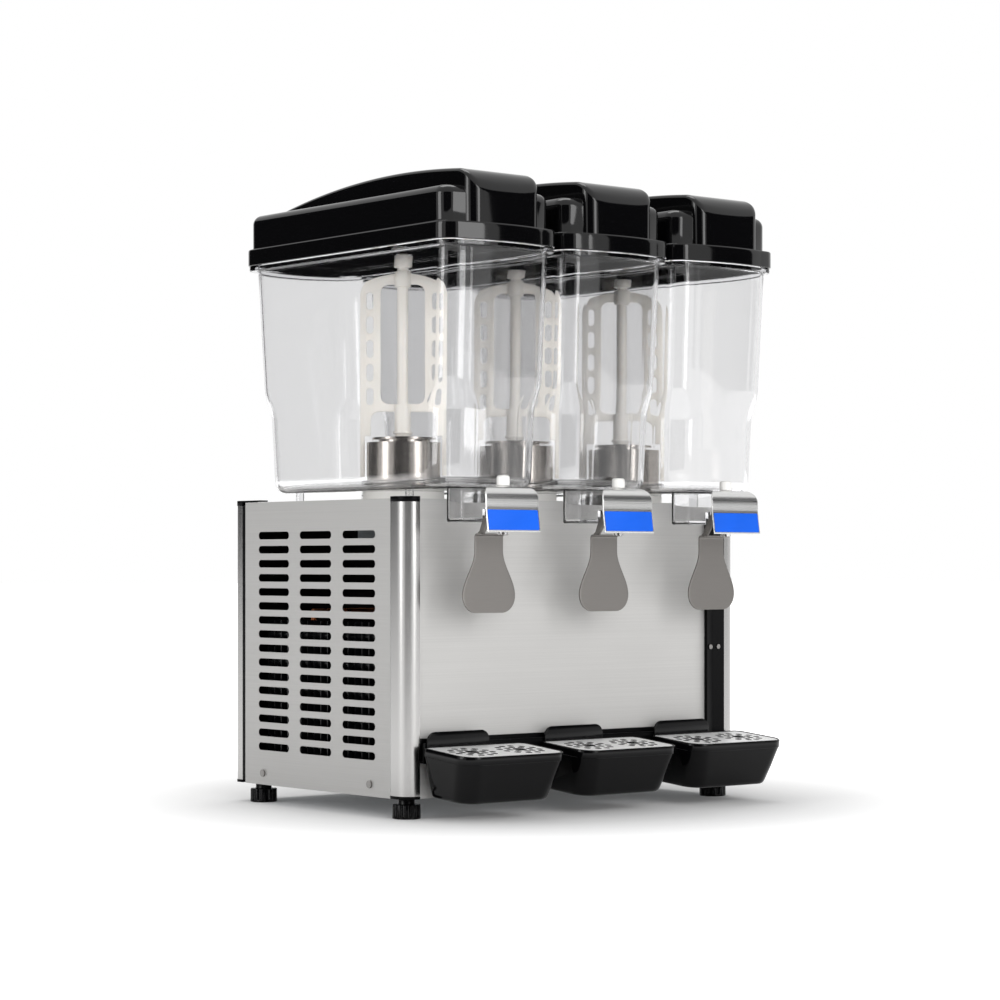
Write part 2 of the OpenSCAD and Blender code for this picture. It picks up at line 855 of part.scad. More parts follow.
post_z0 = base_z + boot_h;
post_z1 = deck_z + cap_rise - cap_h;

module corner_posts() {
  color(steel)
    translate([0, 0, post_z0])
      linear_extrude(post_z1 - post_z0) {
        front_corners()
          translate([cap_lip, cap_lip])
            post_tube(post_w - cap_lip, post_d - cap_lip, post_r - cap_lip);
        back_corners()
          translate([cap_lip, cap_lip])
            post_tube(back_post_w - cap_lip, back_post_d - cap_lip, back_post_r - cap_lip);
      }
}

// One end cap with the plug that fits inside the post
module post_cap(w, d, r, h, up) {
  plug_in = cap_lip + post_wall + gap;
  linear_extrude(h)
    post_plan(w, d, r);
  translate([plug_in, plug_in, up ? h : -plug_h])
    linear_extrude(plug_h)
      post_plan(w - plug_in - post_wall - gap, d - plug_in - post_wall - gap,
        max(r - plug_in, cap_lip));
}

module post_caps() {
  color(black) {
    front_corners() {
      translate([0, 0, base_z])
        post_cap(post_w, post_d, post_r, boot_h, true);
      translate([0, 0, post_z1])
        post_cap(post_w, post_d, post_r, cap_h, false);
    }
    back_corners() {
      translate([0, 0, base_z])
        post_cap(back_post_w, back_post_d, back_post_r, boot_h, true);
      translate([0, 0, post_z1])
        post_cap(back_post_w, back_post_d, back_post_r, cap_h, false);
      translate([0, back_post_d - cut, deck_z + cap_rise - cap_tail_t])
        cube([back_post_w / 2, cap_tail + cut, cap_tail_t]);
    }
  }
}

seam_x1 = side_x - post_w - gap;
seam_x0 = seam_x1 - seam_w;
seam_mid = seam_x0 + seam_valley_in;
seam_back_y = panel_y - gap;
seam_hole_y = seam_back_y - 1.5 * seam_valley_t;
seam_z0 = base_z + boot_h + plug_h;
seam_z1 = deck_z - boot_h - plug_h;
seam_screw_z = base_z + seam_screw_up;
seam_screw_x = [seam_mid - seam_screw_in, seam_mid + seam_screw_in];

module trim_strips() {
  color(black) {
    for (s = [-1, 1])
      block(min(s * skin_x, s * (skin_x - back_post_w / 3)),
        max(s * skin_x, s * (skin_x - back_post_w / 3)),
        side_back + gap, side_back + strip_w, post_z0, post_z1);
    difference() {
      translate([0, 0, seam_z0])
        linear_extrude(seam_z1 - seam_z0)
          polygon([
            [seam_x0, seam_back_y], [seam_x1, seam_back_y], [seam_x1, front_y + seam_set],
            [seam_mid, seam_back_y - seam_valley_t], [seam_x0, seam_back_y - seam_edge]]);
      for (x = seam_screw_x)
        rod_y([x, front_y - cut, seam_screw_z], seam_screw_r + gap, seam_hole_y - front_y + cut);
    }
  }
}

module screw_out_x(y) {
  rod_x([skin_x + run, y, base_z + screw_z], screw_head_r, screw_head_h);
  rod_x([inner_x - sheet_t, y, base_z + screw_z], screw_r, skin_x - inner_x + sheet_t + cut);
}

module panel_screws() {
  color(steel) {
    for (m = [0, 1], y = side_screw_y)
      mirror([m, 0, 0])
        screw_out_x(y);
    for (s = [-1, 1]) {
      rod_y([s * back_screw_x, rear_y + run, base_z + screw_z], screw_head_r, screw_head_h);
      rod_y([s * back_screw_x, inner_back - sheet_t, base_z + screw_z], screw_r,
        rear_y - inner_back + sheet_t + cut);
    }
    for (x = seam_screw_x)
      rod_y([x, seam_hole_y - run - seam_screw_h, seam_screw_z], seam_screw_r, seam_screw_h);
  }
}

foot_y = [front_y + foot_in_front, back_y - foot_in_back];

module foot() {
  difference() {
    cylinder(r = pad_r, h = pad_h);
    for (k = [0:flute_n - 1])
      rotate([0, 0, k * 360 / flute_n])
        translate([pad_r + flute_r / 2, 0, flute_r])
          cylinder(r = flute_r, h = pad_h);
  }
  cylinder(r = stem_r, h = foot_h);
}

module feet() {
  color(black)
    for (s = [-1, 1], y = foot_y)
      translate([s * (side_x - foot_in_x), y, 0])
        foot();
}

// Channel on the front panel that the tray hooks drop into
module tray_rail() {
  reach = bowl_pitch + tab_w / 2 + rail_end;
  x0 = max(tray_shift + tab_shift - reach, post_w + gap - side_x);
  x1 = min(tray_shift + tab_shift + reach, seam_x0 - gap);
  color(black)
    difference() {
      block(x0, x1, lip_y0, rail_back_y, rail_z0, rail_z1);
      block(x0 - cut, x1 + cut, channel_y0, channel_y1, rail_z0 + rail_t, rail_z1 + cut);
      block(x0 - cut, x1 + cut, lip_y0 - cut, channel_y1, rail_z1 - rail_lip_drop, rail_z1 + cut);
    }
}

// Cooling domes with their seals and the stirring drive

module dome() {
  neck_h = dome_cap_h - dome_cap_t;
  difference() {
    union() {
      cylinder(r = dome_r + dome_flange, h = plate_t);
      cylinder(r = dome_r, h = dome_h);
      translate([0, 0, dome_h])
        cylinder(r = dome_cap_r - dome_flange, h = neck_h);
      translate([0, 0, dome_h + neck_h])
        cylinder(r = dome_cap_r, h = dome_cap_t);
    }
    translate([0, 0, -cut])
      cylinder(r = dome_r - dome_wall, h = dome_h - 2 * dome_wall + cut);
    cylinder(r = shaft_seal_r, h = dome_h + dome_cap_h + cut);
  }
}

module evaporator_domes() {
  color(steel)
    for (i = [0:2])
      translate([bowl_x(i), axis_y, deck_z])
        dome();
}

module tube(r1, r0, h) {
  difference() {
    cylinder(r = r1, h = h);
    translate([0, 0, -cut])
      cylinder(r = r0, h = h + 2 * cut);
  }
}

module dome_seals() {
  seal_z = deck_z + plate_t;
  color([0.75, 0.75, 0.72])
    for (i = [0:2])
      translate([bowl_x(i), axis_y, 0]) {
        translate([0, 0, seal_z])
          tube(dome_r + run + seal_w, dome_r + run, bowl_z - gap - seal_z);
        translate([0, 0, dome_top - 2 * dome_wall])
          tube(shaft_seal_r - run, drive_r + run,
            dome_cap_h + 2 * dome_wall + shaft_seal_proud);
      }
}

module stir_motor() {
  stud_r = 4;
  post_in = gearbox_w / 2 - 1.5 * stud_r;
  difference() {
    union() {
      translate([-gearbox_w / 2, -gearbox_w / 2, 0])
        cube([gearbox_w, gearbox_w, gearbox_h]);
      for (sx = [-1, 1], sy = [-1, 1])
        translate([sx * post_in, sy * post_in, gearbox_h - cut])
          cylinder(r = stud_r, h = gearbox_drop + cut);
      translate([0, 0, -stir_h])
        cylinder(r = stir_r, h = stir_h + cut);
    }
    translate([0, 0, gearbox_h - drive_in])
      cylinder(r = drive_r + run, h = drive_in + cut);
  }
}

module stir_motors() {
  color([0.35, 0.36, 0.38])
    for (i = [0:2])
      translate([bowl_x(i), axis_y, gearbox_z])
        stir_motor();
}

module drive_shaft(i) {
  z0 = gearbox_z + gearbox_h - drive_in + gap;
  color(steel)
    translate([bowl_x(i), axis_y, 0])
      rotate([0, 0, paddle_turn]) {
        translate([0, 0, z0])
          cylinder(r = drive_r, h = hub_foot - gap - z0);
        block(-tongue_w / 2, tongue_w / 2, -tongue_w / 2, tongue_w / 2, hub_foot - cut, tongue_top);
      }
}

// Stirring paddle: a slotted plate on a shaft, drawn in X and Z about its axis
module paddle_plate() {
  window_z0 = deck_z + bar_low + bar_h;
  window_z1 = paddle_z1 - window_top;
  leg_half = dome_r + leg_gap;
  arch_z = cap_plate_top + leg_gap;
  difference() {
    intersection() {
      translate([0, (paddle_z0 + paddle_z1) / 2]) {
        round_rect(2 * paddle_half, paddle_z1 - paddle_z0, paddle_r);
        translate([-paddle_half, (paddle_z0 - paddle_z1) / 2])
          square([2 * paddle_half, paddle_r]);
      }
      union() {
        translate([0, paddle_z1 - paddle_arch_r])
          circle(paddle_arch_r, $fn = 96);
        translate([-paddle_half, paddle_z0])
          square([2 * paddle_half, paddle_z1 - paddle_z0 - paddle_r]);
      }
    }
    translate([0, (window_z0 + window_z1) / 2])
      round_rect(2 * window_half, window_z1 - window_z0, window_r);
    translate([0, (deck_z + bar_low + paddle_z0) / 2])
      round_rect(2 * arch_half, deck_z + bar_low - paddle_z0, window_r);
    translate([-leg_half, paddle_z0 - cut])
      square([2 * leg_half, arch_z - paddle_z0 + cut]);
    for (s = [-1, 1], k = [0:leg_slot_n - 1])
      translate([s * leg_slot_x, deck_z + leg_slot_mid + (k - (leg_slot_n - 1) / 2) * leg_slot_pitch])
        rotate(90)
          slot2d(leg_slot_l, leg_slot_w);
  }
}

module paddle(i) {
  bar_z = deck_z + bar_low;
  socket_half = tongue_w / 2 + run;
  lip = 1;
  lip_h = 3;
  color(cream)
    translate([bowl_x(i), axis_y, 0])
      rotate([0, 0, paddle_turn])
        difference() {
          union() {
            stand_y(-paddle_t / 2, paddle_t / 2)
              paddle_plate();
            translate([0, 0, hub_foot])
              cylinder(r = hub_r - lip, h = bar_z + bar_h - hub_foot);
            translate([0, 0, hub_foot + lip_h])
              cylinder(r = hub_r + lip, h = lip_h);
            translate([0, 0, hub_foot + socket_h])
              cylinder(r = paddle_shaft_r, h = top_hub_z - hub_foot - socket_h + cut);
            translate([0, 0, paddle_z1 - window_top - lip_h])
              cylinder(r = hub_r - lip, h = window_top + 2 * lip_h);
            translate([0, 0, top_hub_z])
              cylinder(r = hub_r, h = top_hub_h);
            translate([0, 0, top_pin_z - cut])
              cylinder(r = top_pin_r, h = top_pin_l + cut);
          }
          block(-socket_half, socket_half, -socket_half, socket_half, hub_foot - cut, socket_top);
        }
}

// Bowls, each with its sump, spout and pivot lugs

// One outline of a bowl at height z, grown outwards by grow
function bowl_ring(z, grow, r) =
  let (t = 1 - (z - bowl_z) / bowl_h, q = max(r + grow, least_r))
  ring(outline(bowl_w / 2 - side_draft * t + grow, front_y - bowl_front + front_draft * t - grow,
    front_y + bowl_back - back_draft * t + grow, q, q, bowl_bow), z);

// Rings of a bowl from height z0 to z1, with a round bottom edge of radius e
function bowl_rings(z0, z1, grow, e) = concat(
  [for (a = [0:30:90]) bowl_ring(z0 + e * (1 - cos(a)), grow - e * (1 - sin(a)), bowl_low_r)],
  [bowl_ring(bowl_z + jog_low, grow, bowl_low_r),
   bowl_ring(bowl_z + jog_low + jog_h, grow, bowl_r),
   bowl_ring(z1, grow, bowl_r)]);

collar_r = dome_r + run + seal_w - collar_t + cut;
stub_x = bowl_w / 2 - 0.7 * bowl_low_r;
stub_y = [front_y + bowl_low_r, front_y + bowl_back - back_draft - bowl_low_r - stub_r];

module bowl_shell() {
  difference() {
    union() {
      loft(bowl_rings(bowl_z, bowl_top, 0, bowl_edge_r));
      translate([0, 0, flange_top - flange_t])
        linear_extrude(flange_t)
          polygon(outline(lid_w / 2 - flange_in, front_y - lid_front + flange_in,
            front_y + lid_back - flange_in, skirt_r - flange_in, skirt_r - flange_in, lid_bow));
    }
    loft(bowl_rings(floor_top, bowl_top + cut, -bowl_wall, bowl_edge_r - bowl_wall));
  }
  rod_z([0, axis_y, floor_top - cut], collar_r + collar_t, collar_h + cut);
  for (s = [-1, 1], y = stub_y)
    rod_z([s * stub_x, y, deck_z + gap], stub_r, bowl_lift - gap + cut);
}

// Sump box, spout tube, web between them and two lugs for the pivot pin
module tap_body() {
  block(-sump_half, sump_half, front_y - sump_front, front_y - sump_rear, sump_z, bowl_z + cut);
  rod_z([0, valve_y, seat_z - bowl_wall], spout_r, spout_z1 - seat_z + bowl_wall);
  rod_z([0, valve_y, nozzle_z], nozzle_r, seat_z - nozzle_z);
  block(-nozzle_r - bowl_wall, nozzle_r + bowl_wall, valve_y, front_y - sump_front + cut,
    sump_z, spout_z1);
  for (m = [0, 1])
    mirror([m, 0, 0]) {
      block(lug_half - lug_w, lug_half, lug_y0, pivot_y + ear_r, spout_z1 - spout_r, pivot_z + ear_r);
      block(lug_half - lug_w - web_t, lug_half, lug_y0 + web_t, valve_y, spout_z1 - spout_r + web_t,
        spout_z1 - 2 * web_t);
    }
}

module tap_hollows() {
  block(-sump_half + bowl_wall, sump_half - bowl_wall, front_y - sump_front + bowl_wall,
    front_y - sump_rear - bowl_wall, sump_z + bowl_wall, floor_top + bowl_edge_r / 2);
  rod_z([0, valve_y, seat_z], spout_bore, spout_z1 - seat_z + cut);
  rod_z([0, valve_y, nozzle_z - cut], nozzle_bore, seat_z - nozzle_z + 2 * cut);
  rod_y([0, valve_y, sump_z + bowl_wall + port_r], port_r, front_y - sump_front + 2 * bowl_wall - valve_y);
  rod_x([-side_x / 2, pivot_y, pivot_z], pin_r + run, side_x);
}

module bowl(i) {
  color(clear)
    translate([bowl_x(i), 0, 0])
      difference() {
        union() {
          bowl_shell();
          tap_body();
        }
        rod_z([0, axis_y, bowl_z - cut], collar_r, bowl_floor + collar_h + 2 * cut);
        tap_hollows();
      }
}

// Lids

function lid_ring(z, inset, back = 0) =
  let (r = max(skirt_r - inset, least_r))
  ring(outline(lid_w / 2 - inset, front_y - lid_front + inset + back, front_y + lid_back - inset,
    r, r, lid_bow), z);

function lid_rings(z0, step_z, top, inset, e) = concat(
  [lid_ring(z0, inset), lid_ring(step_z, inset), lid_ring(step_z + skirt_slope, inset + body_in, shoulder_back)],
  [for (a = [0:30:90])
    lid_ring(top - e * (1 - sin(a)), inset + body_in + e * (1 - cos(a)), shoulder_back)]);

// Fall of the grip's arc below its crest at a given Y
function hump_fall(y) = hump_rise * pow((y - front_y - hump_crest) / (hump_end - hump_crest), 2);

// Side view of the raised grip in Y and Z: a round front edge, then an arc down to the shoulder.
// The inner face lies drop lower and inset further in.
function hump_profile(low, drop, inset) =
  let (y0 = front_y - lid_front + inset, y1 = front_y + hump_end - inset, e = hump_nose, n = 14,
    ys = concat([for (a = [0:22.5:90]) y0 + e * (1 - cos(a))],
      [for (i = [1:n]) y0 + e + (y1 - y0 - e) * i / n]),
    edge = [for (y = ys) y < y0 + e ? e - sqrt(e * e - pow(y0 + e - y, 2)) : 0])
  concat([[y0, low]],
    [for (i = [0:len(ys) - 1]) [ys[i], crest_z - drop - hump_fall(ys[i]) - edge[i]]],
    [[y1, low]]);

// Grip block: the side view cut to a plan with round front corners
module hump(low, drop, inset, side) {
  half = hump_w / 2 - side;
  intersection() {
    stand_x(-half, half)
      polygon(hump_profile(low, drop, inset));
    translate([0, 0, low - cut])
      linear_extrude(crest_z - low + 2 * cut)
        polygon(outline(half, front_y - lid_front + inset, front_y + hump_end - inset,
          hump_r, least_r, lid_bow / 4));
  }
}

module lid(i) {
  hump_wall = lid_wall + grip_deep;
  hump_in = body_in - hump_proud;
  grip_y = front_y - lid_front / 3;
  color(black)
    translate([bowl_x(i), 0, 0])
      difference() {
        union() {
          difference() {
            union() {
              loft(lid_rings(skirt_z, skirt_z + skirt_h, shoulder_z, 0, shoulder_r));
              hump(skirt_z + skirt_h - lid_wall, 0, hump_in, 0);
            }
            loft(lid_rings(skirt_z - cut, skirt_z + skirt_h - lid_wall, shoulder_z - lid_wall, lid_wall,
              shoulder_r - lid_wall));
            hump(skirt_z + skirt_h + lid_wall, hump_wall, hump_in + 2 * lid_wall, lid_wall);
          }
          rod_z([0, axis_y, boss_z], top_pin_r + 2 * lid_wall,
            crest_z - hump_wall / 2 - hump_fall(axis_y) - boss_z);
        }
        rod_z([0, axis_y, boss_z - cut], top_pin_r + run, pin_end_z - boss_z + 2 * cut);
        translate([0, grip_y, crest_z - grip_deep - hump_fall(grip_y)])
          linear_extrude(hump_rise)
            slot2d(grip_l, grip_w);
      }
}

// Taps

// Front view of the lever: straight neck, smooth flare and a rounded lower edge
flare_start = 0.22;
flare_share = 0.56;

function lever_half(t) = let (u = min(max((t - flare_start) / flare_share, 0), 1))
  lever_neck + (lever_wide - lever_neck) * u * u * (3 - 2 * u);

module lever_plan() {
  n = 14;
  t_end = 1 - lever_r / lever_l;
  right = [for (i = [0:n]) let (t = t_end * i / n) [lever_half(t), bend_z - t * lever_l]];
  corner = arc([lever_wide - lever_r, lever_z + lever_r], lever_r, 0, -90);
  side = concat(right, corner);
  polygon(concat(side, [for (k = [len(side) - 1:-1:0]) [-side[k].x, side[k].y]]));
}

// Side view of an ear in Y and Z, from the pivot back and down to the bend
module ear_plan() {
  arm_y = valve_y + ear_w;
  difference() {
    union() {
      translate([pivot_y, pivot_z])
        circle(ear_r);
      polygon([
        [pivot_y, pivot_z - ear_r], [pivot_y, lift_z], [arm_y, lift_z],
        [arm_y + ear_w, pivot_z - 1.5 * ear_w], [heel_y + 1.5, sump_z + lever_t / 2],
        [heel_y + 1.5 * ear_w, bend_z + 1.5 * lever_t], [lever_y - lever_t, bend_z + lever_t / 2],
        [lever_y - lever_t, bend_z - lever_t], [heel_y, bend_z - lever_t],
        [arm_y - lever_t, sump_z + ear_w]]);
    }
    translate([pivot_y, pivot_z])
      circle(pin_r + run);
  }
}

module tap_lever(i) {
  color(steel)
    translate([bowl_x(i), 0, 0]) {
      stand_y(lever_y - lever_t, lever_y)
        lever_plan();
      block(-lever_neck, lever_neck, heel_y, lever_y, bend_z - lever_t, bend_z);
      for (s = [-1, 1])
        stand_x(min(s * ear_half, s * (ear_half + lever_t)), max(s * ear_half, s * (ear_half + lever_t)))
          ear_plan();
    }
}

module tap_plunger(i) {
  seal_h = 4;
  seal_lap = 1;
  guide_h = 8;
  top = bowl_z + cap_top;
  color("white")
    translate([bowl_x(i), valve_y, 0]) {
      translate([0, 0, seat_z + gap])
        cylinder(r1 = nozzle_bore + seal_lap, r2 = spout_bore - seal_lap, h = seal_h);
      translate([0, 0, seat_z + gap + seal_h - cut])
        cylinder(r = stem_rod_r, h = top - cap_l - seat_z - seal_h + 2 * cut);
      translate([0, 0, spout_z1 - guide_h])
        cylinder(r = spout_bore - run, h = guide_h);
      translate([-ear_half - lever_t, 0, cross_z])
        rotate([0, 90, 0])
          cylinder(r = cross_r, h = 2 * (ear_half + lever_t));
      translate([0, 0, top - cap_l])
        cylinder(r = cap_r, h = cap_l);
    }
}

module tap_pin(i) {
  pin_end = 1.5;
  half = ear_half + lever_t + pin_end;
  color(steel)
    translate([bowl_x(i), 0, 0])
      rod_x([-half, pivot_y, pivot_z], pin_r, 2 * half);
}

module tap_spring(i) {
  half = lug_half - lug_w - gap;
  color(steel)
    translate([bowl_x(i) - half, pivot_y, pivot_z])
      rotate([0, 90, 0])
        tube(spring_r, pin_r + gap, 2 * half);
}

// Cover: a front plate whose upper part curves back, with round top corners
module tap_cover(i) {
  z0 = bowl_z - cover_low;
  z1 = bowl_z + cover_top;
  bend = z1 - (pivot_z + ear_r + cover_clear);
  n = 6;
  back = [for (k = [0:n]) let (a = 90 * k / n)
    [cover_y + cover_back * (1 - cos(a)), z1 - bend + bend * sin(a)]];
  front = [for (p = back) [p.x - cover_t, p.y]];
  color(steel)
    translate([bowl_x(i), 0, 0])
      intersection() {
        stand_x(-cover_w / 2, cover_w / 2)
          polygon(concat([[cover_y - cover_lean - cover_t, z0], [cover_y - cover_lean, z0],
            [cover_y, z0 + crease_h]], back, [for (k = [n:-1:0]) front[k]],
            [[cover_y - cover_t, z0 + crease_h]]));
        stand_y(cover_y - 2 * cover_back, cover_y + 2 * cover_back)
          union() {
            translate([0, (z0 + z1) / 2])
              round_rect(cover_w, z1 - z0, cover_r);
            translate([-cover_w / 2, z0])
              square([cover_w, cover_r]);
          }
      }
}

// Drip trays with their grids

// One outline of a tray, drawn in towards the bottom by share t and inset by the wall w
function tray_ring(z, t, w, step) =
  let (r = max(tray_r - w, least_r))
  ring(outline(tray_w / 2 - step - t * tray_side_in - w, tray_y0 + step + t * tray_front_in + w,
    tray_y1 - step - t * tray_back_in - w, r, r / 2, 0), z);

// Position of a tray across the cabinet
function tray_x(i) = bowl_x(i) + tray_shift;

// Leans a tray about the front edge of its rim
module leaning() {
  translate([0, tray_y0, tray_z1])
    rotate([tray_lean, 0, 0])
      translate([0, -tray_y0, -tray_z1])
        children();
}

module drip_tray(i) {
  edge = 2 * tray_wall;
  low_share = 0.9;
  in = tray_wall + ledge_w;
  color(black)
    translate([tray_x(i), 0, 0]) {
      leaning()
        difference() {
          loft([tray_ring(tray_z0, 1, edge / 2, band_step), tray_ring(tray_z0 + edge, low_share, 0, band_step),
            tray_ring(band_z, 0, 0, band_step), tray_ring(band_z + band_step / 2, 0, 0, 0),
            tray_ring(tray_z1, 0, 0, 0)]);
          loft([tray_ring(tray_z0 + tray_wall, 1, edge / 2 + tray_wall, band_step),
            tray_ring(tray_z0 + edge + tray_wall, low_share, tray_wall, band_step),
            tray_ring(band_z, 0, tray_wall, band_step), tray_ring(ledge_z + run, 0, in, 0)]);
          loft([tray_ring(ledge_z, 0, tray_wall, 0), tray_ring(tray_z1 + cut, 0, tray_wall, 0)]);
        }
      translate([tab_shift, 0, 0]) {
        difference() {
          stand_y(tab_y0, tab_y1)
            translate([0, tab_z - tab_h])
              round_rect(tab_w, 2 * tab_h, tab_r);
          block(-tab_w, tab_w, tab_y0 - cut, tab_y1 + cut, tray_z0, tray_z1);
        }
        block(-hook_half, hook_half, tab_y0, channel_y1 - hook_gap, hook_z, hook_z + tab_t);
        block(-hook_half, hook_half, channel_y0 + hook_gap, channel_y1 - hook_gap,
          rail_z0 + 2 * rail_t, hook_z + tab_t);
      }
    }
}

// Holes of the grid: two round clusters, each with one large hole and two circles of small ones
module grid_holes() {
  for (s = [-1, 1])
    translate([s * cluster_x, (tray_y0 + tray_y1) / 2]) {
      circle(drain_r);
      for (k = [0:hole_n - 1])
        rotate(k * 360 / hole_n)
          translate([hole_ring, 0])
            circle(hole_r);
      for (k = [0:1.5 * hole_n - 1])
        rotate((k + 0.5) * 240 / hole_n)
          translate([hole_ring_out, 0])
            circle(hole_r);
    }
}

module drip_grid(i) {
  in = tray_wall + 2 * gap;
  color(steel)
    translate([tray_x(i), 0, 0])
      leaning()
        translate([0, 0, ledge_z + gap])
          linear_extrude(grid_t)
            difference() {
              polygon(outline(tray_w / 2 - in, tray_y0 + in, tray_y1 - in, tray_r - in, tray_r / 2 - in, 0));
              grid_holes();
            }
}

// Machinery inside the cabinet

module compressor() {
  foot_r = comp_foot;
  half_l = comp_plate_l / 2;
  half_w = comp_plate_w / 2;
  color(black)
    translate([comp_x, comp_y, floor_z]) {
      for (sx = [-1, 1], sy = [-1, 1])
        translate([sx * (half_l - foot_r), sy * (half_w - foot_r), 0])
          cylinder(r = foot_r, h = comp_foot);
      translate([-half_l, -half_w, comp_foot - cut])
        cube([comp_plate_l, comp_plate_w, comp_plate_t]);
      translate([0, 0, comp_foot])
        rotate_extrude()
          intersection() {
            union() {
              square([comp_r, comp_h - comp_r / 2]);
              translate([0, comp_h - comp_r / 2])
                square([comp_r / 2, comp_r / 2]);
              translate([comp_r / 2, comp_h - comp_r / 2])
                circle(comp_r / 2);
            }
            square([comp_r, comp_h]);
          }
    }
}

module condenser() {
  rows = 6;
  fin = 1;
  step = cond_l / (fin_n - 1);
  color(black)
    translate([cond_x, cond_y - cond_l / 2, floor_z]) {
      for (k = [0:fin_n - 1])
        translate([0, k * step - fin / 2, 0])
          cube([cond_t, fin, cond_h]);
      for (c = [0.25, 0.75], r = [0:rows - 1])
        rod_y([c * cond_t, -fin / 2, cond_h * (r + 0.5) / rows], tube_r, cond_l + fin);
    }
}

module fan_shroud() {
  color(black)
    difference() {
      block(shroud_x, shroud_x + shroud_t, cond_y - cond_l / 2, cond_y + cond_l / 2,
        floor_z, floor_z + cond_h);
      rod_x([shroud_x - cut, cond_y, fan_z], fan_r + 2 * shroud_t, shroud_t + 2 * cut);
    }
}

module fan_motor() {
  foot = fan_motor_r;
  color([0.35, 0.36, 0.38]) {
    rod_x([fan_motor_x, cond_y, fan_z], fan_motor_r, fan_motor_l);
    rod_x([fan_x + fan_deep / 3, cond_y, fan_z], fan_shaft_r, fan_motor_x - fan_x);
    block(fan_motor_x + fan_motor_l / 2, fan_motor_x + fan_motor_l / 2 + shroud_t,
      cond_y - foot, cond_y + foot, floor_z, fan_z);
    block(fan_motor_x + fan_motor_l / 2, fan_motor_x + fan_motor_l, cond_y - foot, cond_y + foot,
      floor_z, floor_z + shroud_t);
  }
}

module fan_blade() {
  pitch = 30;
  blade_w = 36;
  blade_t = 2;
  color(black)
    difference() {
      union() {
        rod_x([fan_x, cond_y, fan_z], fan_hub_r, fan_deep);
        for (k = [0:blade_n - 1])
          translate([fan_x + fan_deep / 2, cond_y, fan_z])
            rotate([k * 360 / blade_n, 0, 0])
              translate([0, 0, fan_hub_r - blade_t])
                rotate([0, 0, pitch])
                  translate([-blade_t / 2, -blade_w / 2, 0])
                    cube([blade_t, blade_w, fan_r - fan_hub_r - blade_t]);
      }
      rod_x([fan_x + fan_deep / 3 - gap, cond_y, fan_z], fan_shaft_r + run, fan_deep);
    }
}

// Straight run between two points
module line_run(a, b) {
  d = b - a;
  translate(a)
    rotate([0, acos(d.z / norm(d)), atan2(d.y, d.x)])
      cylinder(r = line_r, h = norm(d));
}

// Runs through a list of points, with a ball at each bend so that it closes
module line_path(points) {
  for (k = [0:len(points) - 2])
    line_run(points[k], points[k + 1]);
  for (k = [1:len(points) - 2])
    translate(points[k])
      sphere(line_r);
}

module refrigerant_lines() {
  comp_top = floor_z + comp_foot + comp_h;
  cond_mid = cond_x + cond_t / 2;
  cond_top = floor_z + cond_h;
  feed_y = axis_y + gearbox_w / 2 + 3 * line_r;
  dome_in = dome_r / 2;
  color([0.72, 0.42, 0.26]) {
    line_path([[comp_x, comp_y, comp_top + run], [comp_x, comp_y, manifold_z],
      [cond_mid, comp_y, manifold_z], [cond_mid, comp_y, cond_top + run]]);
    line_path([[cond_mid, feed_y, cond_top + run], [cond_mid, feed_y, manifold_z + 4 * line_r],
      [bowl_x(2) + dome_in, feed_y, manifold_z + 4 * line_r]]);
    for (i = [0:2])
      line_path([[bowl_x(i) + dome_in, feed_y, manifold_z + 4 * line_r],
        [bowl_x(i) + dome_in, feed_y, deck_z - plate_t - gearbox_drop / 2],
        [bowl_x(i) + dome_in, axis_y, deck_z - plate_t - gearbox_drop / 2],
        [bowl_x(i) + dome_in, axis_y, dome_top - 2 * dome_wall - gap]]);
  }
}

// Rear controls

sw_deep = 16;
bezel = 2;
sw_wall = 1.7;
rock = 8;
rocker_half = sw_h / 2 - sw_wall - bezel / 2;
rocker_w = sw_w / 2 - sw_wall - gap;
trunnion_r = 1.5;
knob_step = 3;

module switch_frame(k) {
  x = ctl_x + k * ctl_pitch;
  z = base_z + ctl_z;
  difference() {
    union() {
      block(x - sw_w / 2, x + sw_w / 2, rear_y - sw_deep, rear_y + cut, z - sw_h / 2, z + sw_h / 2);
      block(x - sw_w / 2 - bezel, x + sw_w / 2 + bezel, rear_y + run, rear_y + bezel,
        z - sw_h / 2 - bezel, z + sw_h / 2 + bezel);
    }
    block(x - sw_w / 2 + sw_wall, x + sw_w / 2 - sw_wall, rear_y - sw_deep + sw_wall, rear_y + bezel + cut,
      z - sw_h / 2 + sw_wall, z + sw_h / 2 - sw_wall);
    rod_x([x - sw_w / 2 + sw_wall / 3, rear_y - bezel, z], trunnion_r + run, sw_w - 2 * sw_wall / 3);
  }
}

module switch_frames() {
  color(black)
    for (k = [0:1])
      switch_frame(k);
}

// Rocker resting on its lower end, drawn in Y and Z about its trunnions
module rocker(k) {
  x = ctl_x + k * ctl_pitch;
  body_half = rocker_half * 0.65;
  heel = 7;
  toe = 6;
  dip = 4.2;
  translate([x, rear_y - bezel, base_z + ctl_z]) {
    rotate([-rock, 0, 0])
      stand_x(-rocker_w, rocker_w)
        polygon([[-heel, -body_half], [bezel, -rocker_half], [toe, -rocker_half], [dip, 0],
          [toe, rocker_half], [bezel, rocker_half], [-heel, body_half]]);
    translate([-rocker_w - sw_wall / 2, 0, 0])
      rotate([0, 90, 0])
        cylinder(r = trunnion_r, h = 2 * rocker_w + sw_wall);
  }
}

module cooling_switch() {
  color([0.1, 0.45, 0.15])
    rocker(0);
}

module stirring_switch() {
  color([0.6, 0.05, 0.05])
    rocker(1);
}

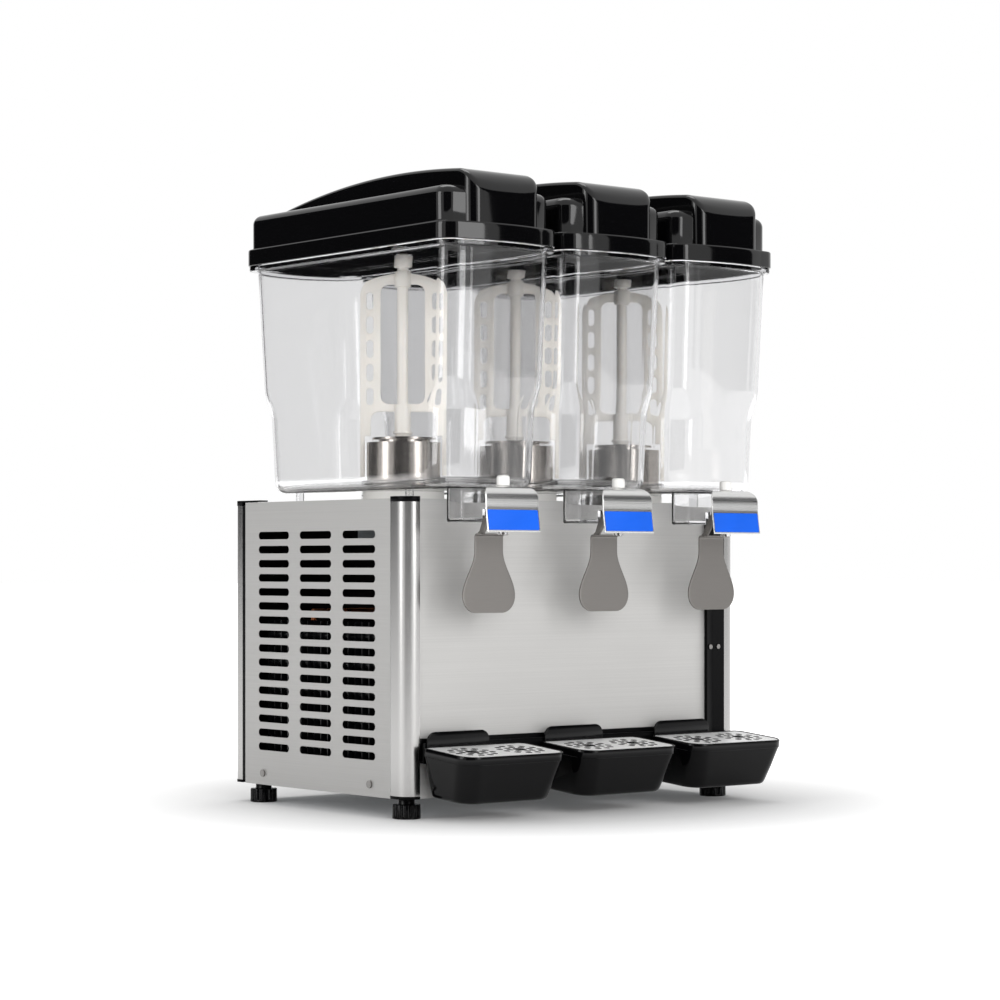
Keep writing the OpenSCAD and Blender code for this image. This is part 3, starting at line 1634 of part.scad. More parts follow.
module thermostat() {
  box = 30;
  z = base_z + ctl_z;
  color([0.8, 0.78, 0.7]) {
    block(knob_x - box / 2, knob_x + box / 2, inner_back - box, inner_back, z - box / 2, z + box / 2);
    rod_y([knob_x, inner_back - cut, z], spindle_r, rear_y - inner_back + knob_h + cut - knob_step);
  }
}

module thermostat_knob() {
  skirt = knob_h - 1.3 * knob_step;
  color(black)
    difference() {
      union() {
        rod_y([knob_x, rear_y + gap, base_z + ctl_z], knob_r, skirt);
        rod_y([knob_x, rear_y + skirt, base_z + ctl_z], knob_r - knob_step, knob_h - skirt);
        block(knob_x - knob_step / 2, knob_x + knob_step / 2, rear_y + gap, rear_y + skirt + gap,
          base_z + ctl_z, base_z + ctl_z + knob_r + knob_step / 2);
      }
      rod_y([knob_x, rear_y - cut, base_z + ctl_z], spindle_r + run, knob_h - knob_step + cut + gap);
    }
}

module cord_gland() {
  flange = gland_wall - 0.5;
  gland_y = rear_y - sheet_t - gland_deep;
  color(black)
    difference() {
      union() {
        rod_y([-gland_x, gland_y, gland_z], gland_r, sheet_t + gland_deep + cut);
        rod_y([-gland_x, rear_y + run, gland_z], gland_r + flange, gland_deep - cut);
        rod_y([-gland_x, gland_y, gland_z], gland_r + flange - cut, gland_deep - run);
      }
      rod_y([-gland_x, gland_y - cut, gland_z], gland_bore, sheet_t + 2 * gland_deep + 2 * cut);
    }
}

front_panel();
side_panels();
back_panel();
top_deck();
base_pan();
corner_posts();
post_caps();
trim_strips();
feet();
tray_rail();
panel_screws();
evaporator_domes();
dome_seals();
stir_motors();
compressor();
condenser();
fan_shroud();
fan_motor();
fan_blade();
refrigerant_lines();
switch_frames();
cooling_switch();
stirring_switch();
thermostat();
thermostat_knob();
cord_gland();
for (i = [0:2]) {
  n = str(i + 1);
  bowl(i);
  lid(i);
  paddle(i);
  drive_shaft(i);
  tap_cover(i);
  tap_lever(i);
  tap_plunger(i);
  tap_pin(i);
  tap_spring(i);
  drip_tray(i);
  drip_grid(i);
}
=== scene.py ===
"""Looks of a cold drink dispenser with three bowls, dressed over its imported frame.

The file is laid out as an add-on and run as a script. Sizes are in metres, in the frame's own
axes: X to the right, Y to the back and Z up. Each piece is a net of points worked out with numpy.
"""

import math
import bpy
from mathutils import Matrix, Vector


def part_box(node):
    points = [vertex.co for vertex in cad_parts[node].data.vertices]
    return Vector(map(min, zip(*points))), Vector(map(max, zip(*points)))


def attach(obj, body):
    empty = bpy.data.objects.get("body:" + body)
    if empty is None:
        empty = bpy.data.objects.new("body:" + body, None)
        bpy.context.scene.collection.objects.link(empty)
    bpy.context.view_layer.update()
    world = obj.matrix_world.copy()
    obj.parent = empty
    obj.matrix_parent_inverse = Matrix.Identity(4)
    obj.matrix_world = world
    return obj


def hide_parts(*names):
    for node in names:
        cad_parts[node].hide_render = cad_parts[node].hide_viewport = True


bl_info = {
    "name": "Cold Drink Dispenser Looks",
    "version": (1, 0, 0),
    "blender": (4, 5, 0),
    "location": "View3D > Sidebar > Dispenser",
    "description": "Builds the bowls, lids, taps, trays and finishes of a cold drink dispenser",
    "category": "Object",
}

import bmesh
import bpy
import numpy as np
from bpy.props import FloatProperty, FloatVectorProperty, PointerProperty
from bpy.types import Operator, Panel, PropertyGroup

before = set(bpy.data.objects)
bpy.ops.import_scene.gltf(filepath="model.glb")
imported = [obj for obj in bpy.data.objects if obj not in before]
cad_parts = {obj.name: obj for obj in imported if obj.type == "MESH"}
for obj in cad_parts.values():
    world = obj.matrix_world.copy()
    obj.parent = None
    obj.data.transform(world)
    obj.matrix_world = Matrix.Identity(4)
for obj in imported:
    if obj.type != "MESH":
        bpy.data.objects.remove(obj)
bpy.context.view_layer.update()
MM = 0.001
NUMBERS = (1, 2, 3)

# Depths below a bowl's foot, and distances in front of the cabinet
SUMP_DEEP = 39 * MM
SEAT_DEEP = 47 * MM
SPOUT_DEEP = 23 * MM
SUMP_FRONT = 43 * MM
SUMP_BACK = 10 * MM
LEVER_FRONT = 44 * MM
# Share of a lever's length at which it starts to widen, and share over which it does
FLARE_START, FLARE_SHARE = 0.22, 0.56

# Where a panel's painted shade starts and is full, behind its outer face: the sheet's inner side
# and slot edges are painted black as shade for the dark inside
INNER_SHADE = (0.2 * MM, 0.6 * MM)
# Distance under which a CAD node's loose corners are joined, in metres
JOIN = 2e-6
# Relief of the finishes in metres, from coarse to fine
COARSE, GRAIN, FINE, FAINT = 0.00008, 0.00006, 0.00003, 0.00002

# Planes of the cabinet and of the parts that hang on it, read from the frame
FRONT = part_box("post_caps")[0].y
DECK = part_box("top_deck")[1].z
DOME_Y = (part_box("drive_shaft_2")[0].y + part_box("drive_shaft_2")[1].y) / 2
VALVE_Y = (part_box("tap_plunger_2")[0].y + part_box("tap_plunger_2")[1].y) / 2
PIVOT_Y = (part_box("tap_pin_2")[0].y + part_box("tap_pin_2")[1].y) / 2
PIVOT_Z = (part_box("tap_pin_2")[0].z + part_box("tap_pin_2")[1].z) / 2
BOWL_X = {n: (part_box(f"lid_{n}")[0].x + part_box(f"lid_{n}")[1].x) / 2 for n in NUMBERS}
TRAY_X = {n: (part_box(f"drip_grid_{n}")[0].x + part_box(f"drip_grid_{n}")[1].x) / 2
          for n in NUMBERS}


def linear(code):
    """Linear colour of a six-digit sRGB code."""
    c = np.array([int(code[i:i + 2], 16) for i in (0, 2, 4)]) / 255
    return tuple(np.where(c <= 0.04045, c / 12.92, ((c + 0.055) / 1.055) ** 2.4))


def length(name, mm, about):
    """A size property, given in millimetres and kept in metres."""
    return FloatProperty(name=name, description=about, default=mm * MM, min=0.0, precision=5,
                         subtype="DISTANCE", unit="LENGTH")


def tint(name, code, about):
    """A colour property, given as an sRGB code and kept linear."""
    return FloatVectorProperty(name=name, description=about, default=linear(code), size=3,
                               min=0.0, max=1.0, subtype="COLOR")


class DispenserBowl(PropertyGroup):
    """Sizes of a bowl"""
    lift: length("Lift", 11, "Height of the bowl's foot above the deck")
    height: length("Height", 301, "Height from foot to rim")
    width: length("Width", 161, "Width at the rim")
    front: length("Front", 78, "Reach of the rim in front of the cabinet")
    back: length("Back", 335, "Reach of the rim behind the cabinet's front")
    side_draft: length("Side draft", 5, "How far each side draws in at the foot")
    front_draft: length("Front draft", 16, "How far the front draws in at the foot")
    back_draft: length("Back draft", 21, "How far the back draws in at the foot")
    wall: length("Wall", 3, "Wall thickness")
    floor: length("Floor", 4, "Floor thickness")
    corner: length("Upper corner", 24, "Corner radius of the upper half")
    low_corner: length("Lower corner", 42, "Corner radius of the lower half")
    jog: length("Jog", 91, "Height at which the corners start to close")
    jog_height: length("Jog height", 40, "Height over which the corners close")
    edge: length("Bottom edge", 14, "Radius of the bottom edge")
    bow: length("Bow", 5, "How far the front bows out")
    rim: length("Rim", 13.7, "Height of the rim above its flange")
    flange: length("Flange", 6, "Thickness of the flange under the lid")
    collar: length("Collar", 46.85, "Radius of the hole for the cooling dome")
    stub: length("Stub", 5, "Radius of the stub feet")


class DispenserLid(PropertyGroup):
    """Sizes of a lid"""
    width: length("Width", 176, "Width of the skirt")
    front: length("Front", 85, "Reach of the skirt in front of the cabinet")
    back: length("Back", 345, "Reach of the skirt behind the cabinet's front")
    corner: length("Corner", 25, "Corner radius of the skirt")
    bow: length("Bow", 8, "How far the front bows out")
    skirt: length("Skirt", 21, "Height of the skirt")
    step: length("Step", 6, "How far the body stands in from the skirt")
    shoulder: length("Shoulder", 64.5, "Height of the shoulder above the skirt's lower edge")
    shoulder_edge: length("Shoulder edge", 12, "Radius of the shoulder's edge")
    wall: length("Wall", 2.5, "Wall thickness")
    grip_width: length("Grip width", 106, "Width of the raised grip")
    grip_rise: length("Grip rise", 27, "Height of the grip above the shoulder")
    grip_crest: length("Grip crest", 70, "Distance of the grip's crest behind the cabinet's front")
    grip_end: length("Grip end", 325, "Distance of the grip's end behind the cabinet's front")
    grip_edge: length("Grip edge", 5, "Radius of the grip's upper edge")
    grip_nose: length("Grip nose", 30, "Radius of the grip's front seen from the side")


class DispenserTap(PropertyGroup):
    """Sizes of a tap"""
    cover_width: length("Cover width", 80, "Width of the tap cover")
    cover_sheet: length("Cover sheet", 1.2, "Thickness of the cover")
    cover_corner: length("Cover corner", 13, "Radius of the cover's upper corners")
    cover_lean: length("Cover lean", 4, "How far the lower part leans forward")
    crease: length("Crease", 28, "Height of the crease above the cover's lower edge")
    label_width: length("Label width", 76, "Width of the bare label plate")
    label_height: length("Label height", 24, "Height of the bare label plate")
    lever_sheet: length("Lever sheet", 2, "Thickness of the lever")
    lever_neck: length("Lever neck", 21, "Half width of the lever's neck")
    lever_wide: length("Lever width", 39.5, "Half width of the lever's blade")
    lever_corner: length("Lever corner", 20, "Radius of the blade's lower corners")
    lever_drop: length("Lever drop", 52.5, "Depth of the lever's bend below the bowl")
    spring_wire: length("Spring wire", 0.55, "Radius of the return spring's wire")


class DispenserTray(PropertyGroup):
    """Sizes of a drip tray"""
    width: length("Width", 156, "Width of the rim")
    depth: length("Depth", 58, "Height of the rim above the underside")
    lean: FloatProperty(name="Lean", description="Forward lean about the rim's front edge",
                        default=math.radians(5), subtype="ANGLE", unit="ROTATION")
    wall: length("Wall", 2.5, "Wall thickness")
    band: length("Rim band", 10, "Height of the upright rim band")
    side_in: length("Side slope", 9.5, "How far each side draws in at the bottom")
    front_in: length("Front slope", 14, "How far the front draws in at the bottom")
    back_in: length("Back slope", 6, "How far the back draws in at the bottom")
    corner: length("Corner", 22, "Radius of the front corners")
    tab_width: length("Tab width", 94, "Width of the hanging tab")
    tab_left: length("Tab offset", 22, "Distance of the tab to the left of the tray's middle")
    tab_height: length("Tab height", 25, "Height of the tab above the rim's front")
    tab_corner: length("Tab corner", 12, "Radius of the tab's upper corners")
    ledge: length("Ledge", 2.3, "Depth of the ledge under the grid")


class DispenserColours(PropertyGroup):
    """Colours of the finishes"""
    steel: tint("Steel", "D6D5D3", "Brushed stainless sheet")
    bright: tint("Bright metal", "DEDEDD", "Polished domes, grids and screws")
    lever: tint("Lever", "7E7B78", "Satin stainless of the levers")
    post: tint("Posts", "ABAAA9", "Satin extrusion of the corner posts")
    black: tint("Black", "050506", "Lids, trays and trim")
    cream: tint("Cream", "F4F0E9", "Stirring paddles")
    clear: tint("Clear", "FEFEFE", "Bowls")
    label: tint("Label", "0A60E2", "Bare label plates")


class DispenserStage(PropertyGroup):
    """Camera and light"""
    camera_at: FloatVectorProperty(name="Camera", description="Place of the camera",
                                   default=(-2.2012, -2.66, 0.303), subtype="XYZ", unit="LENGTH")
    camera_turn: FloatProperty(name="Turn", description="Turn of the level camera to the right",
                               default=math.radians(39.42), subtype="ANGLE", unit="ROTATION")
    lens: FloatProperty(name="Lens", description="Focal length", default=97.74, unit="CAMERA")
    shift: FloatProperty(name="Shift", description="Upward shift of the frame", default=0.062)
    room: FloatProperty(name="Room light", description="Even light from all round", default=0.42)


class DispenserSettings(PropertyGroup):
    """All settings of the dispenser"""
    bowl: PointerProperty(type=DispenserBowl)
    lid: PointerProperty(type=DispenserLid)
    tap: PointerProperty(type=DispenserTap)
    tray: PointerProperty(type=DispenserTray)
    colours: PointerProperty(type=DispenserColours)
    stage: PointerProperty(type=DispenserStage)


# Nets of points

def smooth(x):
    """Smooth step 3x^2 - 2x^3 of x held between 0 and 1."""
    x = np.clip(x, 0.0, 1.0)
    return x * x * (3 - 2 * x)


def arc(cx, cy, r, a0, a1, n):
    """n + 1 points on a circle of radius r about (cx, cy), from a0 to a1 degrees."""
    a = np.radians(np.linspace(a0, a1, n + 1))
    return np.stack([cx + r * np.cos(a), cy + r * np.sin(a)], axis=-1)


def between(p, q, shares):
    """Points on the straight line from p to q at the given shares of its length."""
    return np.asarray(p) + np.asarray(shares)[:, None] * (np.asarray(q) - np.asarray(p))


def plan(hw, yf, yr, rf, rr, bow=0.0, corner=12, side=12, front=24, flank=None):
    """Closed anticlockwise outline with corner arcs of radius rf in front and rr behind.

    Its front edge is the parabola y = yf + bow (x / c)^2 with c = hw - rf. Every stretch keeps
    its own count of points, so outlines of different sizes join up into a net.
    """
    c = hw - rf
    s = math.degrees(math.atan2(2 * bow, c))
    yc = yf + bow + rf * math.cos(math.radians(s))
    even = np.linspace(0, 1, side + 1)[1:-1]
    flank = even if flank is None else flank
    x = np.linspace(-c, c, front + 1)[1:-1]
    return np.concatenate([
        arc(c, yc, rf, s - 90, 0, corner),
        between((hw, yc), (hw, yr - rr), flank),
        arc(hw - rr, yr - rr, rr, 0, 90, corner),
        between((hw - rr, yr), (rr - hw, yr), even),
        arc(rr - hw, yr - rr, rr, 90, 180, corner),
        between((-hw, yr - rr), (-hw, yc), 1 - flank[::-1]),
        arc(-c, yc, rf, 180, 270 - s, corner),
        np.stack([x, yf + bow * (x / c) ** 2], axis=-1),
    ])


def at(outline, z):
    """Outline points (x, y) at height z."""
    return np.column_stack([outline, np.broadcast_to(z, len(outline))])


def inset(outline, d):
    """Anticlockwise outline moved inwards by d along normals from each point's neighbours."""
    ahead = np.roll(outline, -1, 0) - np.roll(outline, 1, 0)
    ahead = ahead / np.linalg.norm(ahead, axis=1, keepdims=True)
    return outline + d * np.stack([-ahead[:, 1], ahead[:, 0]], axis=-1)


def skin(rows, ring=True, tube=False, caps=False):
    """Quads over an m by n net: ring joins its columns, tube its rows, caps fills the end rows."""
    rows = np.asarray(rows)
    m, n = rows.shape[:2]
    i = np.arange(m if tube else m - 1)[:, None]
    j = np.arange(n if ring else n - 1)[None, :]
    up, on = (i + 1) % m, (j + 1) % n
    corners = np.stack([i * n + j, i * n + on, up * n + on, up * n + j], axis=-1)
    faces = corners.reshape(-1, 4).tolist()
    if caps:
        faces += [list(range(n))[::-1], list(range((m - 1) * n, m * n))]
    return rows.reshape(-1, 3), faces


def moved(part, x=0.0, y=0.0, z=0.0):
    """A part's points moved by (x, y, z)."""
    return part[0] + np.array([x, y, z]), part[1]


def turned(profile, n=48, tube=False):
    """Profile rows (r, z) turned about Z: x = r cos a, y = r sin a, with flat end caps."""
    r, z = np.asarray(profile).T
    a = np.linspace(0, 2 * np.pi, n, endpoint=False)
    rows = np.stack([r[:, None] * np.cos(a), r[:, None] * np.sin(a), z[:, None] + 0 * a], axis=-1)
    return skin(rows, tube=tube, caps=not tube)


def slab(outline, thick, edge, steps=3):
    """Plate over an anticlockwise outline (u, v), thick along w, its edges rounded by radius edge.

    Rows run up the rim at w = e (1 - cos a) and inset e (1 - sin a), and mirrored at the top.
    """
    a = np.linspace(0, np.pi / 2, steps + 1)
    rims = [(inset(outline, edge * (1 - math.sin(t))), edge * (1 - math.cos(t))) for t in a]
    low = [at(rim, w) for rim, w in rims]
    high = [at(rim, thick - w) for rim, w in rims[::-1]]
    return skin(np.array(low + high), caps=True)


def facing_front(part, y):
    """A slab stood upright: u along X, v along Z, and its thickness from y towards the front."""
    p, faces = part
    return np.column_stack([p[:, 0], y - p[:, 2], p[:, 1]]), faces


def facing_side(part, x):
    """A slab stood on edge: u along Y, v along Z, and its thickness from x to the right."""
    p, faces = part
    return np.column_stack([x + p[:, 2], p[:, 0], p[:, 1]]), faces


def round_box(x0, x1, y0, y1, z0, z1, edge):
    """Block with all its edges rounded: a slab over a rounded rectangle."""
    outline = plan((x1 - x0) / 2, y0, y1, edge, edge, corner=4, side=2, front=2)
    p, faces = slab(outline, z1 - z0, edge * 0.9)
    return p + np.array([(x0 + x1) / 2, 0, z0]), faces


def net_object(name, parts, finish, sharp=34.0):
    """One mesh object at the origin from several parts, smooth under sharp degrees."""
    points, faces, first = [], [], 0
    for p, f in parts:
        points.append(p)
        faces += [[k + first for k in face] for face in f]
        first += len(p)
    mesh = bpy.data.meshes.new(name)
    mesh.from_pydata(np.concatenate(points).tolist(), [], faces)
    work = bmesh.new()
    work.from_mesh(mesh)
    bmesh.ops.remove_doubles(work, verts=work.verts, dist=1e-7)
    bmesh.ops.dissolve_degenerate(work, edges=work.edges, dist=1e-8)
    work.to_mesh(mesh)
    work.free()
    mesh.shade_smooth()
    mesh.set_sharp_from_angle(angle=math.radians(sharp))
    mesh.materials.append(bpy.data.materials[finish])
    made = bpy.data.objects.new(name, mesh)
    bpy.context.scene.collection.objects.link(made)
    return made


def dress(made, body, nodes=()):
    """Rides a piece on its body and lets it stand for CAD nodes."""
    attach(made, body)
    if nodes:
        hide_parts(*nodes)
    return made


def thicken(made, sheet, edge):
    """Gives a sheet its thickness behind its face and rounds its rim."""
    wall = made.modifiers.new("sheet", "SOLIDIFY")
    wall.thickness = sheet
    wall.offset = -1.0
    wall.use_even_offset = True
    rim = made.modifiers.new("rim", "BEVEL")
    rim.width = edge
    rim.segments = 2
    rim.limit_method = "ANGLE"
    rim.angle_limit = math.radians(55)


# Finishes

def new_finish(name, colour, rough, **fixed):
    """A material with one Principled shader, its fixed numbers set on the shader's own sockets."""
    made = bpy.data.materials.new(name)
    made.use_nodes = True
    shader = made.node_tree.nodes["Principled BSDF"]
    shader.inputs["Base Color"].default_value = (*colour, 1.0)
    shader.inputs["Roughness"].default_value = rough
    for socket, value in fixed.items():
        shader.inputs[socket.replace("_", " ")].default_value = value
    return made, made.node_tree, shader


def noise(tree, scale, detail=4.0, rough=0.55, bend=0.0):
    """Noise on object coordinates, with one frequency per metre for each axis."""
    where = tree.nodes.new("ShaderNodeTexCoord")
    mapping = tree.nodes.new("ShaderNodeMapping")
    mapping.inputs["Scale"].default_value = scale
    made = tree.nodes.new("ShaderNodeTexNoise")
    made.inputs["Scale"].default_value = 1.0
    made.inputs["Detail"].default_value = detail
    made.inputs["Roughness"].default_value = rough
    made.inputs["Distortion"].default_value = bend
    tree.links.new(where.outputs["Object"], mapping.inputs["Vector"])
    tree.links.new(mapping.outputs["Vector"], made.inputs["Vector"])
    return made.outputs["Fac"]


def ranged(tree, source, low, high, start=0.3, end=0.7):
    """A pattern's values from start to end spread over low to high."""
    made = tree.nodes.new("ShaderNodeMapRange")
    made.inputs["From Min"].default_value = start
    made.inputs["From Max"].default_value = end
    made.inputs["To Min"].default_value = low
    made.inputs["To Max"].default_value = high
    tree.links.new(source, made.inputs["Value"])
    return made.outputs["Result"]


def two_tones(tree, source, first, second):
    """Colour between two tones by a pattern's value."""
    made = tree.nodes.new("ShaderNodeMix")
    made.data_type = "RGBA"
    made.inputs["A"].default_value = (*first, 1.0)
    made.inputs["B"].default_value = (*second, 1.0)
    tree.links.new(source, made.inputs["Factor"])
    return made.outputs["Result"]


def relief(tree, shader, source, depth, strength=1.0):
    """Bump of the given depth in metres from a pattern."""
    made = tree.nodes.new("ShaderNodeBump")
    made.inputs["Strength"].default_value = strength
    made.inputs["Distance"].default_value = depth
    tree.links.new(source, made.inputs["Height"])
    tree.links.new(made.outputs["Normal"], shader.inputs["Normal"])


def dim(colour, share):
    """A colour times a share."""
    return tuple(c * share for c in colour)


def brushed(name, colour, rough, scale, depth, spread=0.10, **fixed):
    """Brushed or turned metal: streaks along low-frequency axes, cloudy tone and fine relief."""
    _, tree, shader = new_finish(name, colour, rough, Metallic=1.0, **fixed)
    streaks = noise(tree, scale, detail=7.0, rough=0.7)
    cloud = noise(tree, (3.0, 3.0, 3.0), detail=3.0)
    tree.links.new(two_tones(tree, ranged(tree, streaks, 0.0, 1.0), dim(colour, 0.9), colour),
                   shader.inputs["Base Color"])
    both = tree.nodes.new("ShaderNodeMath")
    both.operation = "ADD"
    tree.links.new(ranged(tree, streaks, -spread / 2, spread / 2), both.inputs[0])
    tree.links.new(ranged(tree, cloud, rough - spread / 3, rough + spread / 3), both.inputs[1])
    tree.links.new(both.outputs["Value"], shader.inputs["Roughness"])
    relief(tree, shader, streaks, depth)
    return tree, shader


def paint_shade(tree, shader, source, axis, start, end):
    """Paints shade: turns a finish black as the size of one part of a coordinate goes from start
    to end.
    """
    where = tree.nodes.new("ShaderNodeTexCoord")
    split = tree.nodes.new("ShaderNodeSeparateXYZ")
    size = tree.nodes.new("ShaderNodeMath")
    size.operation = "ABSOLUTE"
    black = tree.nodes.new("ShaderNodeMix")
    black.data_type = "RGBA"
    black.inputs["B"].default_value = (0.004, 0.004, 0.004, 1.0)
    tree.links.new(where.outputs[source], split.inputs["Vector"])
    tree.links.new(split.outputs[axis], size.inputs[0])
    share = ranged(tree, size.outputs["Value"], 0.0, 1.0, start, end)
    tree.links.new(share, black.inputs["Factor"])
    tree.links.new(shader.inputs["Base Color"].links[0].from_socket, black.inputs["A"])
    tree.links.new(black.outputs["Result"], shader.inputs["Base Color"])


def panel_sheet(name, colour, rough, scale, axis, face):
    """Brushed sheet with reflections drawn out upright, and painted shade behind its face: its
    inner side and slot edges are turned black.
    """
    tree, shader = brushed(name, colour, rough, scale, GRAIN, Anisotropic=0.8,
                           Anisotropic_Rotation=0.25)
    shader.inputs["Metallic"].default_value = 0.5
    along = tree.nodes.new("ShaderNodeTangent")
    along.direction_type, along.axis = "RADIAL", "Z"
    tree.links.new(along.outputs["Tangent"], shader.inputs["Tangent"])
    # Painted shade: black on the sheet's inner side and slot edges, for the dark inside of the
    # cabinet
    paint_shade(tree, shader, "Object", axis, face - INNER_SHADE[0], face - INNER_SHADE[1])


def moulded(name, colour, rough, grain, depth, spread=0.08, **fixed):
    """Moulded plastic or rubber: fine grain in the relief, and slow changes of tone and gloss."""
    _, tree, shader = new_finish(name, colour, rough, **fixed)
    fine = noise(tree, (grain, grain, grain), detail=3.0)
    slow = noise(tree, (9.0, 9.0, 9.0), detail=3.0, bend=0.4)
    tree.links.new(two_tones(tree, ranged(tree, slow, 0.0, 1.0), dim(colour, 0.88), colour),
                   shader.inputs["Base Color"])
    tree.links.new(ranged(tree, slow, max(rough - spread / 2, 0.02), rough + spread / 2),
                   shader.inputs["Roughness"])
    relief(tree, shader, fine, depth)


def clear_wall(name, colour):
    """Clear moulded plastic: faintly wavy, grey seen edge on, and open to the lamps' light."""
    made, tree, shader = new_finish(name, colour, 0.03, Transmission_Weight=1.0, IOR=1.47)
    wave = noise(tree, (14.0, 14.0, 9.0), detail=2.0)
    tree.links.new(ranged(tree, wave, 0.015, 0.05), shader.inputs["Roughness"])
    relief(tree, shader, wave, 0.0004, 0.25)
    open_wall = tree.nodes.new("ShaderNodeBsdfTransparent")
    open_wall.inputs["Color"].default_value = (0.985, 0.985, 0.985, 1.0)
    path = tree.nodes.new("ShaderNodeLightPath")
    either = tree.nodes.new("ShaderNodeMath")
    either.operation = "MAXIMUM"
    blend = tree.nodes.new("ShaderNodeMixShader")
    tree.links.new(path.outputs["Is Shadow Ray"], either.inputs[0])
    tree.links.new(path.outputs["Is Diffuse Ray"], either.inputs[1])
    tree.links.new(either.outputs["Value"], blend.inputs["Fac"])
    tree.links.new(shader.outputs["BSDF"], blend.inputs[1])
    tree.links.new(open_wall.outputs["BSDF"], blend.inputs[2])
    tree.links.new(blend.outputs["Shader"], tree.nodes["Material Output"].inputs["Surface"])
    depth = tree.nodes.new("ShaderNodeVolumeAbsorption")
    depth.inputs["Color"].default_value = (0.0, 0.0, 0.06, 1.0)
    depth.inputs["Density"].default_value = 18.0
    tree.links.new(depth.outputs["Volume"], tree.nodes["Material Output"].inputs["Volume"])


class DISPENSER_OT_finishes(Operator):
    """Makes the metals, plastics and rubbers of the dispenser"""
    bl_idname = "dispenser.finishes"
    bl_label = "Finishes"

    def execute(self, context):
        c = context.scene.dispenser.colours
        steel, bright, black = tuple(c.steel), tuple(c.bright), tuple(c.black)
        across, along = (2.5, 60.0, 700.0), (60.0, 2.5, 700.0)
        face, back, side = (abs(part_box("front_panel")[0].y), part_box("back_panel")[1].y,
                            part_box("side_panels")[1].x)
        panel_sheet("front_sheet", steel, 0.6, across, "Y", face)
        panel_sheet("back_sheet", steel, 0.45, across, "Y", back)
        # Painted shade: the side sheet is the same steel at 0.8 of its colour, darker than the
        # front and back sheets
        panel_sheet("side_sheet", dim(steel, 0.8), 0.45, along, "X", side)
        brushed("deck_sheet", steel, 0.42, across, GRAIN)
        brushed("bright_post", tuple(c.post), 0.24, (500.0, 500.0, 2.0), FINE, spread=0.06)
        brushed("polished_dome", linear("A8A39E"), 0.2, (150.0, 150.0, 3.0), 0.000004, spread=0.05)
        brushed("satin_lever", tuple(c.lever), 0.5, (40.0, 40.0, 700.0), FINE)
        brushed("satin_cover", bright, 0.26, (3.0, 300.0, 700.0), 0.00004)
        tree, shader = brushed("bright_grid", linear("F4F4F4"), 0.4, (300.0, 6.0, 300.0), FINE)
        shader.inputs["Metallic"].default_value = 0.3
        # Painted shade: the grid's hole walls and edges, whose normals lie near level, are turned
        # black
        paint_shade(tree, shader, "Normal", "Z", 0.8, 0.6)
        brushed("bright_steel", bright, 0.22, (300.0, 300.0, 300.0), FAINT)
        brushed("screw_steel", linear("8E8C8A"), 0.35, (300.0, 300.0, 300.0), FAINT)
        brushed("zinc_coat", linear("B9BDC0"), 0.45, (25.0, 25.0, 25.0), FAINT, spread=0.2)
        brushed("copper_line", linear("C77B52"), 0.3, (60.0, 60.0, 60.0), FINE)
        moulded("deep_gloss", black, 0.07, 60.0, FAINT, spread=0.04, Specular_IOR_Level=0.4)
        moulded("tray_gloss", black, 0.1, 60.0, FAINT, spread=0.04, Specular_IOR_Level=0.18)
        moulded("moulded_black", black, 0.3, 700.0, COARSE, Specular_IOR_Level=0.06)
        moulded("foot_black", black, 0.22, 500.0, 0.00004, Specular_IOR_Level=0.14)
        moulded("enamel_black", linear("101113"), 0.28, 400.0, GRAIN)
        moulded("motor_paint", linear("85898C"), 0.42, 500.0, GRAIN)
        moulded("paddle_cream", tuple(c.cream), 0.36, 350.0, 0.00004, Subsurface_Weight=0.15,
                Subsurface_Radius=(0.006, 0.005, 0.004))
        moulded("cap_white", linear("F3F2EF"), 0.3, 400.0, FINE, Subsurface_Weight=0.1,
                Subsurface_Radius=(0.003, 0.003, 0.003))
        moulded("seal_white", linear("E6E5E0"), 0.55, 500.0, GRAIN)
        moulded("label_blue", tuple(c.label), 0.5, 500.0, FAINT, spread=0.06,
                Specular_IOR_Level=0.25)
        moulded("rocker_green", linear("1F8A3B"), 0.3, 500.0, 0.00004)
        moulded("rocker_red", linear("B5231C"), 0.3, 500.0, 0.00004)
        clear_wall("clear_bowl", tuple(c.clear))
        return {"FINISHED"}


def soft_shading(angle):
    """Nodes that join a CAD node's loose triangles and shade the edges under an angle smooth."""
    tree = bpy.data.node_groups.new("soft_shading", "GeometryNodeTree")
    tree.is_modifier = True
    tree.interface.new_socket("Geometry", in_out="INPUT", socket_type="NodeSocketGeometry")
    tree.interface.new_socket("Geometry", in_out="OUTPUT", socket_type="NodeSocketGeometry")
    start, end = tree.nodes.new("NodeGroupInput"), tree.nodes.new("NodeGroupOutput")
    bare = tree.nodes.new("GeometryNodeRemoveAttribute")
    bare.inputs["Name"].default_value = "custom_normal"
    join = tree.nodes.new("GeometryNodeMergeByDistance")
    join.inputs["Distance"].default_value = JOIN
    faces, edges = (tree.nodes.new("GeometryNodeSetShadeSmooth") for _ in range(2))
    edges.domain = "EDGE"
    turn = tree.nodes.new("GeometryNodeInputMeshEdgeAngle")
    flat = tree.nodes.new("FunctionNodeCompare")
    flat.operation = "LESS_THAN"
    flat.inputs["B"].default_value = angle
    for a, b in ((start, bare), (bare, join), (join, faces), (faces, edges), (edges, end)):
        tree.links.new(a.outputs[0], b.inputs[0])
    tree.links.new(turn.outputs["Unsigned Angle"], flat.inputs["A"])
    tree.links.new(flat.outputs["Result"], edges.inputs["Shade Smooth"])
    return tree


